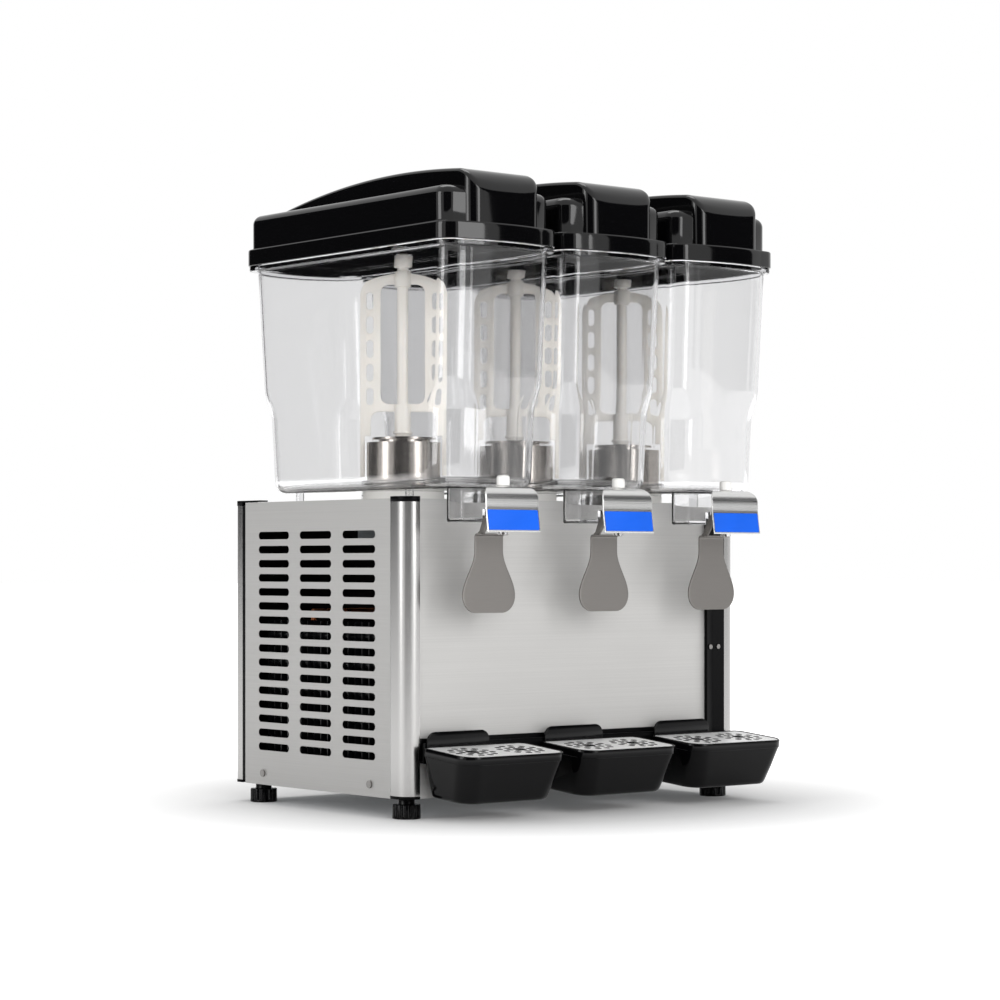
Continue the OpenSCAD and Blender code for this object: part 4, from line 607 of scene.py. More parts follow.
CABINET = {
    "front_panel": "front_sheet", "back_panel": "back_sheet", "top_deck": "deck_sheet",
    "side_panels": "side_sheet", "base_pan": "zinc_coat", "corner_posts": "bright_post",
    "post_caps": "moulded_black", "trim_strips": "moulded_black", "tray_rail": "moulded_black",
    "feet": "foot_black", "panel_screws": "screw_steel", "evaporator_domes": "polished_dome",
    "dome_seals": "seal_white", "switch_frames": "moulded_black", "cooling_switch": "rocker_green",
    "stirring_switch": "rocker_red", "thermostat_knob": "moulded_black",
    "cord_gland": "foot_black",
}
MACHINERY = {
    "stir_motors": "motor_paint", "compressor": "enamel_black", "condenser": "enamel_black",
    "fan_shroud": "enamel_black", "fan_motor": "motor_paint", "fan_blade": "moulded_black",
    "refrigerant_lines": "copper_line", "thermostat": "zinc_coat",
}
SERIES = {
    "paddle": "paddle_cream", "drive_shaft": "bright_steel", "tap_pin": "bright_steel",
    "drip_grid": "bright_grid",
}
# Edge radius in millimetres of the CAD nodes whose edges are rounded
ROUNDED = {"post_caps": 0.6, "tray_rail": 0.5, "feet": 1.2, "paddle_1": 0.6, "paddle_2": 0.6,
           "paddle_3": 0.6, "thermostat_knob": 0.6, "switch_frames": 0.5}


def coat(nodes):
    """Gives CAD nodes their finishes, soft shading and, where listed, rounded edges."""
    tree = bpy.data.node_groups.get("soft_shading") or soft_shading(math.radians(32))
    for name, finish in nodes.items():
        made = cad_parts[name]
        for place in made.material_slots:
            place.material = bpy.data.materials[finish]
        if name in ROUNDED:
            join = made.modifiers.new("join", "WELD")
            join.merge_threshold = JOIN
            flat = made.modifiers.new("flat", "DECIMATE")
            flat.decimate_type = "DISSOLVE"
            flat.angle_limit = math.radians(0.5)
            edge = made.modifiers.new("edge", "BEVEL")
            edge.width = ROUNDED[name] * MM
            edge.segments = 2
            edge.limit_method = "ANGLE"
            edge.angle_limit = math.radians(40)
            edge.use_clamp_overlap = False
        made.modifiers.new("shading", "NODES").node_group = tree


class DISPENSER_OT_cabinet(Operator):
    """Finishes the cabinet, its trim, feet and controls"""
    bl_idname = "dispenser.cabinet"
    bl_label = "Cabinet"

    def execute(self, context):
        coat(CABINET)
        return {"FINISHED"}


class DISPENSER_OT_machinery(Operator):
    """Finishes the machinery inside the cabinet"""
    bl_idname = "dispenser.machinery"
    bl_label = "Machinery"

    def execute(self, context):
        coat(MACHINERY)
        return {"FINISHED"}


class DISPENSER_OT_series(Operator):
    """Finishes the paddles, shafts, pins and grids"""
    bl_idname = "dispenser.series"
    bl_label = "Paddles and Grids"

    def execute(self, context):
        coat({f"{stem}_{n}": finish for stem, finish in SERIES.items() for n in NUMBERS})
        return {"FINISHED"}


def bowl_wall(b, lid):
    """Closed wall of a bowl, from the hole for the dome out, up, over the rim and down inside.

    A row at height z is a rounded outline that draws in by draft times t, with t = 1 at the foot
    and 0 at the rim, grown by g. Its corner radius passes smoothly from low_corner to corner over
    the jog.
    """
    z0 = DECK + b.lift
    top, floor = z0 + b.height, z0 + b.floor
    high = top - b.rim

    def ring(z, g, r=None):
        t = 1 - (z - z0) / b.height
        if r is None:
            r = b.low_corner + (b.corner - b.low_corner) * smooth((z - z0 - b.jog) / b.jog_height)
        q = max(r + g, 2 * MM)
        return at(plan(b.width / 2 - b.side_draft * t + g, FRONT - b.front + b.front_draft * t - g,
                       FRONT + b.back - b.back_draft * t + g, q, q, b.bow), z)

    def flange(z, d):
        d = d + 1.5 * MM
        return at(plan(lid.width / 2 - d, FRONT - lid.front + d, FRONT + lid.back - d,
                       lid.corner - d, lid.corner - d, lid.bow), z)

    def foot(z, g, e):
        return [ring(z + e * (1 - math.cos(a)), g - e * (1 - math.sin(a)), b.low_corner)
                for a in np.linspace(0, np.pi / 2, 9)]

    def wall(g, za, zb):
        heights = np.concatenate([np.linspace(za, z0 + b.jog, 5)[1:],
                                  np.linspace(z0 + b.jog, z0 + b.jog + b.jog_height, 11)[1:],
                                  np.linspace(z0 + b.jog + b.jog_height, zb, 7)[1:]])
        return [ring(z, g) for z in heights]

    outer = foot(z0, 0.0, b.edge)
    inner = foot(floor, -b.wall, b.edge - b.wall)
    about = outer[0][:, :2] - (0.0, DOME_Y)
    about = np.arctan2(about[:, 1], about[:, 0])

    def circle(r, z):
        x, y = r * np.cos(about), DOME_Y + r * np.sin(about)
        return np.column_stack([x, y, np.full(len(about), z)])

    r, soft = b.collar, 0.8 * MM
    rows = [circle(r, z0), circle(r + 8 * MM, z0)] + outer
    rows += wall(0.0, z0 + b.edge, high - b.flange - 4 * MM)
    rows += [ring(high - b.flange - 1 * MM, 0.6 * MM), ring(high - b.flange, 2 * MM),
             flange(high - b.flange, soft), flange(high - b.flange + soft, 0.0),
             flange(high - soft, 0.0), flange(high, soft), ring(high, 1.6 * MM),
             ring(high + 1.6 * MM, 0.0), ring(top - soft, 0.0), ring(top, -soft),
             ring(top, soft - b.wall), ring(top - soft, -b.wall)]
    rows += wall(-b.wall, floor + b.edge - b.wall, top - 3 * MM)[::-1] + inner[::-1]
    rows += [circle(r + 5.5 * MM, floor), circle(r + 4 * MM, floor + 1.5 * MM),
             circle(r + 4 * MM, floor + 5 * MM), circle(r + 3 * MM, floor + 6 * MM),
             circle(r + 1 * MM, floor + 6 * MM), circle(r, floor + 5 * MM)]
    return skin(np.array(rows), tube=True)


def sump_parts(b):
    """Sump cup, spout tube, web and pivot lugs under a bowl's front, and its four stub feet."""
    z1 = DECK + b.lift
    low, w = z1 - SUMP_DEEP, b.wall
    yf, yr = FRONT - SUMP_FRONT, FRONT - SUMP_BACK

    def ring(z, d):
        r = 5 * MM - d * 0.6
        return at(plan(38 * MM - d, yf + d, yr - d, r, r, corner=6), z)

    cup = [ring(low, 2 * MM), ring(low + 0.6 * MM, 0.6 * MM), ring(low + 2 * MM, 0.0),
           ring(z1 - 0.1 * MM, 0.0), ring(z1 - 0.1 * MM, w), ring(low + w + 2 * MM, w),
           ring(low + w, w + 2 * MM)]
    seat, spout = z1 - SEAT_DEEP, z1 - SPOUT_DEEP
    tube = np.array([(12, 0), (12, 27), (8, 27), (8, 3), (4, 3), (4, -4), (6, -4), (6, 0)]) * MM
    tube[:, 1] += seat - w
    parts = [skin(np.array(cup), caps=True), moved(turned(tube, tube=True), y=VALVE_Y),
             round_box(-9 * MM, 9 * MM, VALVE_Y + 11 * MM, yf - 0.1 * MM, low, spout, 1.5 * MM)]
    for x in (-15 * MM, 9.5 * MM):
        parts.append(round_box(x, x + 5.5 * MM, PIVOT_Y - 4 * MM, VALVE_Y - 12 * MM,
                               spout - 12 * MM, PIVOT_Z - 2.2 * MM, 1 * MM))
    stub = np.array([(b.stub - 1 * MM, DECK + 0.3 * MM), (b.stub, DECK + 1.3 * MM),
                     (b.stub, z1 + 1 * MM)])
    x = b.width / 2 - 0.7 * b.low_corner
    for y in (FRONT + b.low_corner, FRONT + b.back - b.back_draft - b.low_corner - b.stub):
        parts += [moved(turned(stub, 24), side, y) for side in (-x, x)]
    return parts


class DISPENSER_OT_bowls(Operator):
    """Builds the clear bowls with their sumps, spouts and pivot lugs"""
    bl_idname = "dispenser.bowls"
    bl_label = "Bowls"

    def execute(self, context):
        s = context.scene.dispenser
        parts = [bowl_wall(s.bowl, s.lid)] + sump_parts(s.bowl)
        for n in NUMBERS:
            placed = [moved(p, BOWL_X[n]) for p in parts]
            made = net_object(f"clear_bowl_{n}", placed, "clear_bowl")
            dress(made, f"bowl_{n}", [f"bowl_{n}"])
        return {"FINISHED"}


def lid_shell(l, low):
    """Closed shell of a lid, from its ceiling down inside, round the skirt's foot and up outside.

    A row is the skirt's outline set in by d, with its front set back by k, and the shoulder's edge
    follows a quarter circle.
    """
    step, top, w = low + l.skirt, low + l.shoulder, l.wall

    def ring(z, d, k=0.0):
        r = max(l.corner - d, 3 * MM)
        return at(plan(l.width / 2 - d, FRONT - l.front + d + k, FRONT + l.back - d,
                       r, r, l.bow), z)

    def edge(z, d, e):
        return [ring(z - e * (1 - math.sin(a)), d + e * (1 - math.cos(a)), l.step)
                for a in np.linspace(0, np.pi / 2, 11)]

    soft = 0.8 * MM
    rows = edge(top - w, l.step + w, l.shoulder_edge - w)[::-1]
    rows += [ring(step - w + 2 * MM, l.step + w, l.step), ring(step - w, w + 1 * MM),
             ring(step - w - 1 * MM, w), ring(low + soft, w),
             ring(low, w - soft), ring(low, soft), ring(low + soft, 0.0),
             ring(step - 6 * MM, 0.0), ring(step - 2.4 * MM, 0.0), ring(step - 1.2 * MM, 0.3 * MM),
             ring(step - 0.4 * MM, 1.0 * MM), ring(step, 2.2 * MM, 0.6 * MM),
             ring(step + 0.3 * MM, l.step - 1.4 * MM, l.step - 1.6 * MM),
             ring(step + 0.8 * MM, l.step - 0.4 * MM, l.step - 0.4 * MM),
             ring(step + 2.2 * MM, l.step, l.step)]
    rows += edge(top, l.step, l.shoulder_edge)
    return skin(np.array(rows), caps=True)


def lid_grip(l, low):
    """Raised grip of a lid: upright sides under a top that falls by a parabola.

    The top is z = crest - rise ((y - y0) / reach)^2, with y0 at the crest. Its front is a quarter
    circle of the nose radius, its upper edge one of the edge radius, and a round-ended dish of
    4 mm is pressed into the top. Its foot lies inside the shell's own wall.
    """
    top = low + l.shoulder
    crest = top + l.grip_rise
    yf, yr = FRONT - l.front + 4 * MM, FRONT + l.grip_end
    flank = np.concatenate([np.linspace(0, 0.16, 36)[1:], np.linspace(0.16, 1.0, 30)[1:-1]])
    out = plan(l.grip_width / 2, yf, yr, 14 * MM, 10 * MM, 2 * MM, corner=10, front=32,
               flank=flank)
    dish_y = FRONT - l.front / 3

    def roof(xy):
        x, y = xy.T
        ahead = np.clip(yf + l.grip_nose - y, 0.0, l.grip_nose)
        nose = l.grip_nose - np.sqrt(l.grip_nose ** 2 - ahead ** 2)
        inside = 10 * MM - np.hypot(np.maximum(np.abs(x) - 21 * MM, 0.0), y - dish_y)
        dish = 4 * MM * smooth(inside / (3.5 * MM))
        fall = (y - FRONT - l.grip_crest) / (l.grip_end - l.grip_crest)
        return crest - l.grip_rise * fall ** 2 - nose - dish

    def foot(xy):
        x, y = xy.T
        face = FRONT - l.front + 2 * l.step + l.bow * (x / (l.width / 2 - l.corner)) ** 2
        behind = np.clip(l.shoulder_edge - (y - face), 0.0, l.shoulder_edge)
        under = top - 1.2 * MM - l.shoulder_edge + np.sqrt(l.shoulder_edge ** 2 - behind ** 2)
        return np.where(y < face + 1.5 * MM, low + l.skirt - 1 * MM, under)

    e = l.grip_edge
    rows = [at(out * (share, 1.0), foot(out * (share, 1.0))) for share in np.linspace(0, 1, 13)]
    for a in np.linspace(0, np.pi / 2, 9):
        xy = inset(out, e * (1 - math.cos(a)))
        rows.append(at(xy, roof(xy) - e * (1 - math.sin(a))))
    for share in np.linspace(1, 0, 31)[1:]:
        across = xy * (share, 1.0)
        rows.append(at(across, roof(across)))
    return skin(np.array(rows))


class DISPENSER_OT_lids(Operator):
    """Builds the glossy lids with their raised grips"""
    bl_idname = "dispenser.lids"
    bl_label = "Lids"

    def execute(self, context):
        l = context.scene.dispenser.lid
        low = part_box("lid_2")[0].z
        boss = np.array([(5.05, 10.4), (10, 10.4), (10, 70), (5.05, 70)]) * MM
        boss[:, 1] += low
        parts = [lid_shell(l, low), lid_grip(l, low), moved(turned(boss, tube=True), y=DOME_Y)]
        for n in NUMBERS:
            made = net_object(f"gloss_lid_{n}", [moved(p, BOWL_X[n]) for p in parts], "deep_gloss")
            dress(made, f"lid_{n}", [f"lid_{n}"])
        return {"FINISHED"}


def cover_net(t, low, high, y):
    """Face of a tap cover: u runs across, v up a profile that leans, stands and then curves back.

    The half width falls off by a quarter circle of the corner radius below the upper edge.
    """
    crease = low + t.crease
    bend = crease + 9.5 * MM
    lean = between((y - t.cover_lean, low), (y, crease), np.linspace(0, 1, 8))
    stand = between((y, crease), (y, bend), np.linspace(0, 1, 5)[1:])
    a = np.linspace(0, np.pi / 2, 17)[1:]
    curl = np.stack([y + 11 * MM * (1 - np.cos(a)), bend + (high - bend) * np.sin(a)], axis=-1)
    side = np.concatenate([lean, stand, curl])
    drop = np.clip(t.cover_corner - (high - side[:, 1]), 0.0, t.cover_corner)
    half = t.cover_width / 2 - t.cover_corner + np.sqrt(t.cover_corner ** 2 - drop ** 2)
    u = np.linspace(-1, 1, 33)
    return np.stack([half[:, None] * u, side[:, :1] + 0 * u, side[:, 1:] + 0 * u], axis=-1)


class DISPENSER_OT_tap_covers(Operator):
    """Builds the tap covers and the bare plates on them"""
    bl_idname = "dispenser.tap_covers"
    bl_label = "Tap Covers"

    def execute(self, context):
        t = context.scene.dispenser.tap
        low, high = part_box("tap_cover_2")
        y = low.y + t.cover_lean
        net = skin(cover_net(t, low.z, high.z, y), ring=False)
        up = np.array([0.0, t.cover_lean, t.crease])
        up = up / np.linalg.norm(up)
        out = np.cross((1.0, 0.0, 0.0), up)
        outline = plan(t.label_width / 2, -t.label_height / 2, t.label_height / 2, 2 * MM, 2 * MM,
                       corner=6, side=8, front=8)
        p, faces = slab(outline, 0.7 * MM, 0.25 * MM)
        middle = np.array([0.0, y - t.cover_lean / 2, low.z + t.crease / 2]) + 0.05 * MM * out
        p = middle + p[:, :1] * np.array([1.0, 0.0, 0.0]) + p[:, 1:2] * up + p[:, 2:] * out
        for n in NUMBERS:
            cover = net_object(f"steel_cover_{n}", [moved(net, BOWL_X[n])], "satin_cover",
                               sharp=20)
            thicken(cover, t.cover_sheet, 0.3 * MM)
            dress(cover, f"bowl_{n}", [f"tap_cover_{n}"])
            plate = net_object(f"label_plate_{n}", [moved((p, faces), BOWL_X[n])], "label_blue")
            dress(plate, f"bowl_{n}")
        return {"FINISHED"}


def lever_net(t, low, bend, y):
    """Front face of a push lever: u runs across, v up the blade and then forward under its bend.

    The half width passes smoothly from lever_wide to lever_neck, and the lower corners are round.
    """
    reach = bend - low
    z = low + np.concatenate([t.lever_corner * (1 - np.cos(np.linspace(0, np.pi / 2, 13))),
                              np.linspace(t.lever_corner, reach - 4 * MM, 31)[1:]])
    drop = np.clip(t.lever_corner - (z - low), 0.0, t.lever_corner)
    flare = smooth(((bend - z) / reach - FLARE_START) / FLARE_SHARE)
    half = t.lever_neck + (t.lever_wide - t.lever_neck) * flare
    half = half - t.lever_corner + np.sqrt(t.lever_corner ** 2 - drop ** 2)
    a = np.linspace(0, np.pi / 2, 7)[1:]
    curl = np.stack([y - 2 * MM * (1 - np.cos(a)), bend - 4 * MM + 2 * MM * np.sin(a)], axis=-1)
    side = np.concatenate([np.stack([0 * z + y, z], axis=-1), curl,
                           [(y - 9.5 * MM, bend - 2 * MM)]])
    half = np.concatenate([half, np.full(len(side) - len(z), t.lever_neck)])
    u = np.linspace(-1, 1, 25)
    return np.stack([half[:, None] * u, side[:, :1] + 0 * u, side[:, 1:] + 0 * u], axis=-1)


def lever_ear(z0, bend, y):
    """Side view of a lever's ear in Y and Z, from the eye round the pivot back to the bend."""
    eye = arc(PIVOT_Y, PIVOT_Z, 3.5 * MM, 29, 270, 18)
    back = [(VALVE_Y + 2 * MM, z0 + 4 * MM), (y - 9.5 * MM, bend - 2 * MM), (y, bend - 2 * MM),
            (y, bend + 1 * MM), (y - 3 * MM, bend + 3 * MM), (y - 8 * MM, z0 + 1 * MM),
            (VALVE_Y + 8 * MM, PIVOT_Z - 6 * MM), (VALVE_Y + 4 * MM, PIVOT_Z + 1.7 * MM)]
    return np.concatenate([eye, back])


class DISPENSER_OT_tap_levers(Operator):
    """Builds the push levers with their ears"""
    bl_idname = "dispenser.tap_levers"
    bl_label = "Tap Levers"

    def execute(self, context):
        s = context.scene.dispenser
        t = s.tap
        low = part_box("tap_lever_2")[0].z
        z1 = DECK + s.bowl.lift
        bend, sump = z1 - t.lever_drop, z1 - SUMP_DEEP
        y = FRONT - LEVER_FRONT - t.lever_sheet
        blade = skin(lever_net(t, low, bend, y), ring=False)
        ear = slab(lever_ear(sump, bend, y), t.lever_sheet, 0.3 * MM)
        for n in NUMBERS:
            made = net_object(f"push_lever_{n}", [moved(blade, BOWL_X[n])], "satin_lever",
                              sharp=40)
            thicken(made, t.lever_sheet, 0.4 * MM)
            dress(made, f"lever_{n}", [f"tap_lever_{n}"])
            ears = [moved(facing_side(ear, x), BOWL_X[n]) for x in (-17.5 * MM, 15.5 * MM)]
            pair = net_object(f"lever_ears_{n}", ears, "satin_lever")
            dress(pair, f"lever_{n}", [f"tap_lever_{n}"])
        return {"FINISHED"}


def coil(half, radius, wire, turns):
    """Wire of a spring along X: its middle runs round at radius, and a circle of the wire's radius
    lies in the plane of the radius and the axis at each step."""
    u = np.linspace(0, 2 * np.pi * turns, int(16 * turns) + 1)[:, None]
    v = np.linspace(0, 2 * np.pi, 10, endpoint=False)[None, :]
    r = radius + wire * np.cos(v)
    x = np.linspace(-half, half, len(u))[:, None] - wire * np.sin(v)
    return skin(np.stack([x, r * np.cos(u), r * np.sin(u)], axis=-1), caps=True)


class DISPENSER_OT_valves(Operator):
    """Builds the valve plungers with their caps and the return springs"""
    bl_idname = "dispenser.valves"
    bl_label = "Valves"

    def execute(self, context):
        s = context.scene.dispenser
        z1 = DECK + s.bowl.lift
        cap = np.concatenate([[(4.5, 3.5), (7.0, 3.5), (7.75, 4.2)],
                              arc(4.55, 12.3, 3.2, 0, 90, 8)])
        stem = [(5.0, -46.7), (7.0, -42.7), (4.5, -42.7), (4.5, -31.0), (7.5, -31.0),
                (7.95, -30.5), (7.95, -23.5), (7.5, -23.0), (4.5, -23.0)]
        rod = np.concatenate([stem, cap]) * MM
        rod[:, 1] += z1
        pin = np.array([(1.7, -17.5), (2.0, -17.2), (2.0, 17.2), (1.7, 17.5)]) * MM
        cross, faces = turned(pin, 20)
        cross = np.column_stack([cross[:, 2], cross[:, 0], cross[:, 1]])
        cross = cross + (0.0, VALVE_Y, PIVOT_Z + 4 * MM)
        spring = moved(coil(8.6 * MM, 3.0 * MM, s.tap.spring_wire, 8.5), y=PIVOT_Y, z=PIVOT_Z)
        parts = [moved(turned(rod), y=VALVE_Y), (cross, faces)]
        for n in NUMBERS:
            placed = [moved(p, BOWL_X[n]) for p in parts]
            made = net_object(f"valve_plunger_{n}", placed, "cap_white")
            dress(made, f"plunger_{n}", [f"tap_plunger_{n}"])
            wire = net_object(f"return_spring_{n}", [moved(spring, BOWL_X[n])], "bright_steel")
            dress(wire, f"bowl_{n}", [f"tap_spring_{n}"])
        return {"FINISHED"}


def tray_shell(t, low, high, y0, y1):
    """Closed shell of a drip tray, from its underside up outside, over the rim and to its floor.

    A row is the rim's outline drawn in by a share of the slopes, set in by d, and by 0.6 mm under
    the band.
    """
    band, step, w = high - t.band, 0.6 * MM, t.wall

    def ring(z, share, d, under=0.0):
        r = max(t.corner - d, 2 * MM)
        return at(plan(t.width / 2 - under - share * t.side_in - d,
                       y0 + under + share * t.front_in + d,
                       y1 - under - share * t.back_in - d, r, r / 2), z)

    soft, ledge = 0.9 * MM, high - t.ledge
    rows = [ring(low, 1.0, 4 * MM, step), ring(low + 0.4 * MM, 0.99, 2 * MM, step),
            ring(low + 2 * MM, 0.96, 0.5 * MM, step), ring(low + 5 * MM, 0.9, 0.0, step),
            ring(low + (band - low) * 0.5, 0.47, 0.0, step), ring(band - 1 * MM, 0.02, 0.0, step),
            ring(band, 0.0, 0.0, step), ring(band + 0.3 * MM, 0.0, 0.2 * MM),
            ring(band + 0.8 * MM, 0.0, 0.0), ring(high - soft, 0.0, 0.0),
            ring(high - 0.3 * MM, 0.0, 0.3 * MM), ring(high, 0.0, soft),
            ring(high, 0.0, w - 0.6 * MM), ring(high - 0.6 * MM, 0.0, w), ring(ledge, 0.0, w),
            ring(ledge, 0.0, w + 4 * MM), ring(ledge - 1 * MM, 0.0, w + 4 * MM),
            ring(band - 1 * MM, 0.02, w, step), ring(low + 5 * MM + w, 0.9, w, step),
            ring(low + 2 * MM + w, 0.96, w + 1.5 * MM, step), ring(low + w, 1.0, w + 4 * MM, step)]
    return skin(np.array(rows), caps=True)


def leaning(part, angle, y, z):
    """A part turned forward by a about the line (y, z), its points standing off by v and w.

    y' = y + v cos a - w sin a and z' = z + v sin a + w cos a.
    """
    p, faces = part
    v, w = p[:, 1] - y, p[:, 2] - z
    c, s = math.cos(angle), math.sin(angle)
    return np.column_stack([p[:, 0], y + v * c - w * s, z + v * s + w * c]), faces


class DISPENSER_OT_trays(Operator):
    """Builds the glossy drip trays with their hanging tabs and hooks"""
    bl_idname = "dispenser.trays"
    bl_label = "Drip Trays"

    def execute(self, context):
        t = context.scene.dispenser.tray
        low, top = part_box("drip_tray_2")
        rail_low, rail_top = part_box("tray_rail")
        high = top.z - t.tab_height
        tab_y = rail_low.y - 0.6 * MM
        back = tab_y - 0.3 * MM - t.band * math.sin(t.lean)
        half = t.tab_width / 2
        c = half - t.tab_corner
        tab = np.concatenate([between((-half, high), (half, high), np.linspace(0, 1, 9)),
                              arc(c, top.z - t.tab_corner, t.tab_corner, 0, 90, 12),
                              arc(-c, top.z - t.tab_corner, t.tab_corner, 90, 180, 12)])
        hook = rail_top.z - 4 * MM
        hanger = [facing_front(slab(tab, 3 * MM, 0.8 * MM), tab_y),
                  round_box(-c, c, tab_y - 2 * MM, top.y, hook, hook + 3 * MM, 0.8 * MM),
                  round_box(-c, c, top.y - 3 * MM, top.y, rail_low.z + 5 * MM, hook + 3 * MM,
                            0.8 * MM)]
        shell = leaning(tray_shell(t, high - t.depth, high, low.y, back), t.lean, low.y, high)
        parts = [shell] + [moved(p, -t.tab_left) for p in hanger]
        for n in NUMBERS:
            placed = [moved(p, TRAY_X[n]) for p in parts]
            made = net_object(f"gloss_tray_{n}", placed, "tray_gloss")
            dress(made, f"tray_{n}", [f"drip_tray_{n}"])
        return {"FINISHED"}


# Stage

def plain_material(name):
    """A material with an empty node tree and its output node."""
    made = bpy.data.materials.new(name)
    made.use_nodes = True
    made.node_tree.nodes.clear()
    return made, made.node_tree, made.node_tree.nodes.new("ShaderNodeOutputMaterial")


def seen_rays(tree):
    """1 for rays from the camera, from gloss and through clear walls, and 0 for the rest."""
    path = tree.nodes.new("ShaderNodeLightPath")
    total = path.outputs["Is Camera Ray"]
    for name in ("Is Glossy Ray", "Is Transmission Ray"):
        both = tree.nodes.new("ShaderNodeMath")
        both.operation = "MAXIMUM"
        tree.links.new(total, both.inputs[0])
        tree.links.new(path.outputs[name], both.inputs[1])
        total = both.outputs["Value"]
    return total


def sheet_object(name, points, material):
    """One flat four-cornered stage sheet."""
    mesh = bpy.data.meshes.new(name)
    mesh.from_pydata([tuple(p) for p in points], [], [(0, 1, 2, 3)])
    mesh.materials.append(material)
    made = bpy.data.objects.new(name, mesh)
    bpy.context.scene.collection.objects.link(made)
    return made


def white_floor():
    """White floor that keeps the object's shadow, with a painted shadow round the cabinet where
    its glow is weak, and turns to plain white away from it.
    """
    made, tree, out = plain_material("studio_floor")
    plain = tree.nodes.new("ShaderNodeBsdfDiffuse")
    plain.inputs["Color"].default_value = (0.8, 0.8, 0.8, 1.0)
    glow = tree.nodes.new("ShaderNodeEmission")
    where = tree.nodes.new("ShaderNodeTexCoord")
    far = tree.nodes.new("ShaderNodeVectorMath")
    far.operation = "LENGTH"
    tree.links.new(where.outputs["Object"], far.inputs[0])
    # Painted shadow: the glow is weak near the cabinet and rises to full white away from it
    level = ranged(tree, far.outputs["Value"], SHADOW_GLOW_NEAR, GLOW_FAR, GLOW_START, GLOW_END)
    seen = tree.nodes.new("ShaderNodeMath")
    seen.operation = "MULTIPLY"
    tree.links.new(level, seen.inputs[0])
    tree.links.new(seen_rays(tree), seen.inputs[1])
    tree.links.new(seen.outputs["Value"], glow.inputs["Strength"])
    both = tree.nodes.new("ShaderNodeAddShader")
    tree.links.new(plain.outputs["BSDF"], both.inputs[0])
    tree.links.new(glow.outputs["Emission"], both.inputs[1])
    tree.links.new(both.outputs["Shader"], out.inputs["Surface"])
    r = FLOOR_REACH
    corners = [(-r, -r, 0), (r, -r, 0), (r, r, 0), (-r, r, 0)]
    return sheet_object("studio_floor", corners, made)


def dark_flag(name, turn, spread, low, high, distance, material):
    """Upright dark sheet that gloss and clear walls see, at a turn and a spread in degrees."""
    a = math.radians(turn)
    mid = np.array([math.cos(a), math.sin(a)]) * distance
    side = np.array([-math.sin(a), math.cos(a)]) * distance * math.tan(math.radians(spread / 2))
    made = sheet_object(name, [(*(mid - side), low), (*(mid + side), low), (*(mid + side), high),
                               (*(mid - side), high)], material)
    made.visible_camera = made.visible_diffuse = made.visible_shadow = False


def soft_lamp(name, turn, distance, height, width, tall, power):
    """Area lamp at a turn in degrees from +X, a distance and a height, aimed at the deck."""
    lamp = bpy.data.lights.new(name, "AREA")
    lamp.shape = "RECTANGLE"
    lamp.size, lamp.size_y, lamp.energy = width, tall, power
    made = bpy.data.objects.new(name, lamp)
    bpy.context.scene.collection.objects.link(made)
    a = math.radians(turn)
    made.location = (distance * math.cos(a), distance * math.sin(a), height)
    line = Vector((0.0, 0.0, DECK)) - made.location
    made.rotation_euler = line.to_track_quat("-Z", "Y").to_euler()
    made.visible_camera = False
    return made


# Turn and spread in degrees, lower and upper edge and distance in metres of each flag
FLAGS = {
    "flag_camera": (229, 52, 0.0, 3.0, 4.6),
    "flag_right": (314, 32, 0.47, 2.6, 4.0),
    "flag_left": (122, 50, 0.25, 2.6, 4.0),
}
# Turn in degrees, distance, height, width and tallness in metres and power in watts of each lamp
LAMPS = {
    "left_box": (176, 2.7, 1.1, 0.9, 1.7, 22),
    "front_box": (277, 2.7, 1.1, 0.9, 1.7, 22),
    "fill_box": (248, 3.4, 1.0, 2.0, 2.0, 54),
    "top_box": (63, 0.7, 3.2, 2.0, 1.2, 24),
}
FLOOR_REACH = 30.0
# Glow of the floor near the cabinet and far from it, and the distances between which it rises; the
# weak glow near the cabinet paints a shadow round it
SHADOW_GLOW_NEAR, GLOW_FAR = 0.05, 1.0
GLOW_START, GLOW_END = 0.3, 0.85
SENSOR = 36.0
FAR_CLIP = 200.0


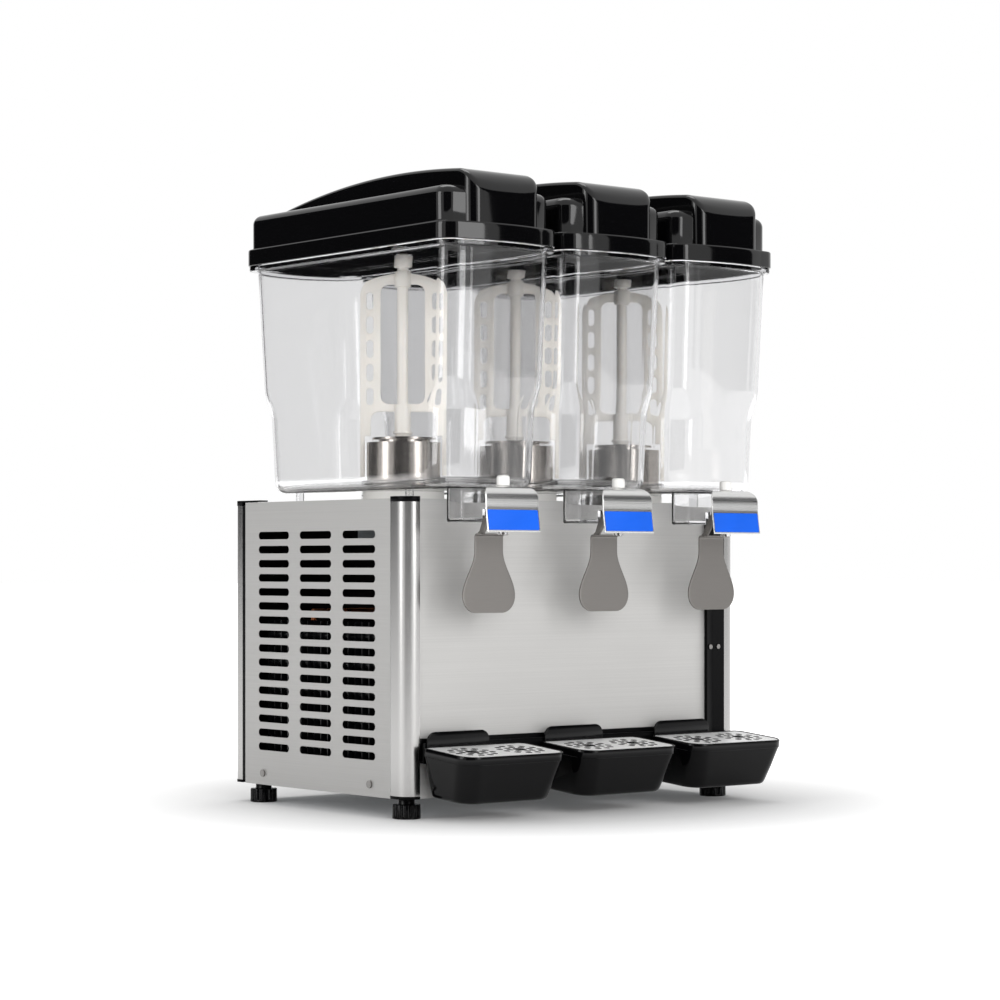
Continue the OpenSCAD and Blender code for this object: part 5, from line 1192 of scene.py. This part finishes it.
class DISPENSER_OT_stage(Operator):
    """Sets up the camera, the floor and the studio light"""
    bl_idname = "dispenser.stage"
    bl_label = "Stage"

    def execute(self, context):
        scene, s = context.scene, context.scene.dispenser.stage
        scene.view_settings.view_transform = "Standard"
        camera = bpy.data.cameras.new("photo_camera")
        camera.lens, camera.sensor_width, camera.shift_y = s.lens, SENSOR, s.shift
        camera.clip_end = FAR_CLIP
        eye = bpy.data.objects.new("photo_camera", camera)
        eye.location = s.camera_at
        eye.rotation_euler = (math.pi / 2, 0.0, -s.camera_turn)
        scene.collection.objects.link(eye)
        scene.camera = eye

        world = bpy.data.worlds.new("studio")
        scene.world = world
        world.use_nodes = True
        tree = world.node_tree
        room = tree.nodes["Background"]
        room.inputs["Color"].default_value = (1.0, 1.0, 1.0, 1.0)
        level = ranged(tree, seen_rays(tree), s.room, 1.0, 0.0, 1.0)
        tree.links.new(level, room.inputs["Strength"])

        white_floor()
        dark, shade, out = plain_material("dark_flag")
        grey = shade.nodes.new("ShaderNodeEmission")
        grey.inputs["Color"].default_value = (0.03, 0.03, 0.032, 1.0)
        shade.links.new(grey.outputs["Emission"], out.inputs["Surface"])
        for name, place in FLAGS.items():
            dark_flag(name, *place, dark)
        lamps = {name: soft_lamp(name, *place) for name, place in LAMPS.items()}
        fill = lamps["fill_box"]
        fill.visible_glossy = fill.visible_transmission = False
        return {"FINISHED"}


OPERATORS = (DISPENSER_OT_stage, DISPENSER_OT_finishes, DISPENSER_OT_cabinet,
             DISPENSER_OT_machinery, DISPENSER_OT_series, DISPENSER_OT_bowls,
             DISPENSER_OT_lids, DISPENSER_OT_tap_covers, DISPENSER_OT_tap_levers,
             DISPENSER_OT_valves, DISPENSER_OT_trays)


class DISPENSER_PT_panel(Panel):
    """Lists the dispenser's operators"""
    bl_idname = "DISPENSER_PT_panel"
    bl_label = "Cold Drink Dispenser"
    bl_space_type = "VIEW_3D"
    bl_region_type = "UI"
    bl_category = "Dispenser"

    def draw(self, context):
        for made in OPERATORS:
            self.layout.operator(made.bl_idname)


CLASSES = (DispenserBowl, DispenserLid, DispenserTap, DispenserTray, DispenserColours,
           DispenserStage, DispenserSettings, *OPERATORS, DISPENSER_PT_panel)


def register():
    """Registers the classes and hangs the settings on the scene."""
    for made in CLASSES:
        bpy.utils.register_class(made)
    bpy.types.Scene.dispenser = PointerProperty(type=DispenserSettings)


def unregister():
    """Takes the settings and the classes away again."""
    del bpy.types.Scene.dispenser
    for made in reversed(CLASSES):
        bpy.utils.unregister_class(made)


def main():
    """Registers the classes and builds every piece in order."""
    register()
    for made in OPERATORS:
        group, name = made.bl_idname.split(".")
        getattr(getattr(bpy.ops, group), name)()


if __name__ == "__main__":
    main()
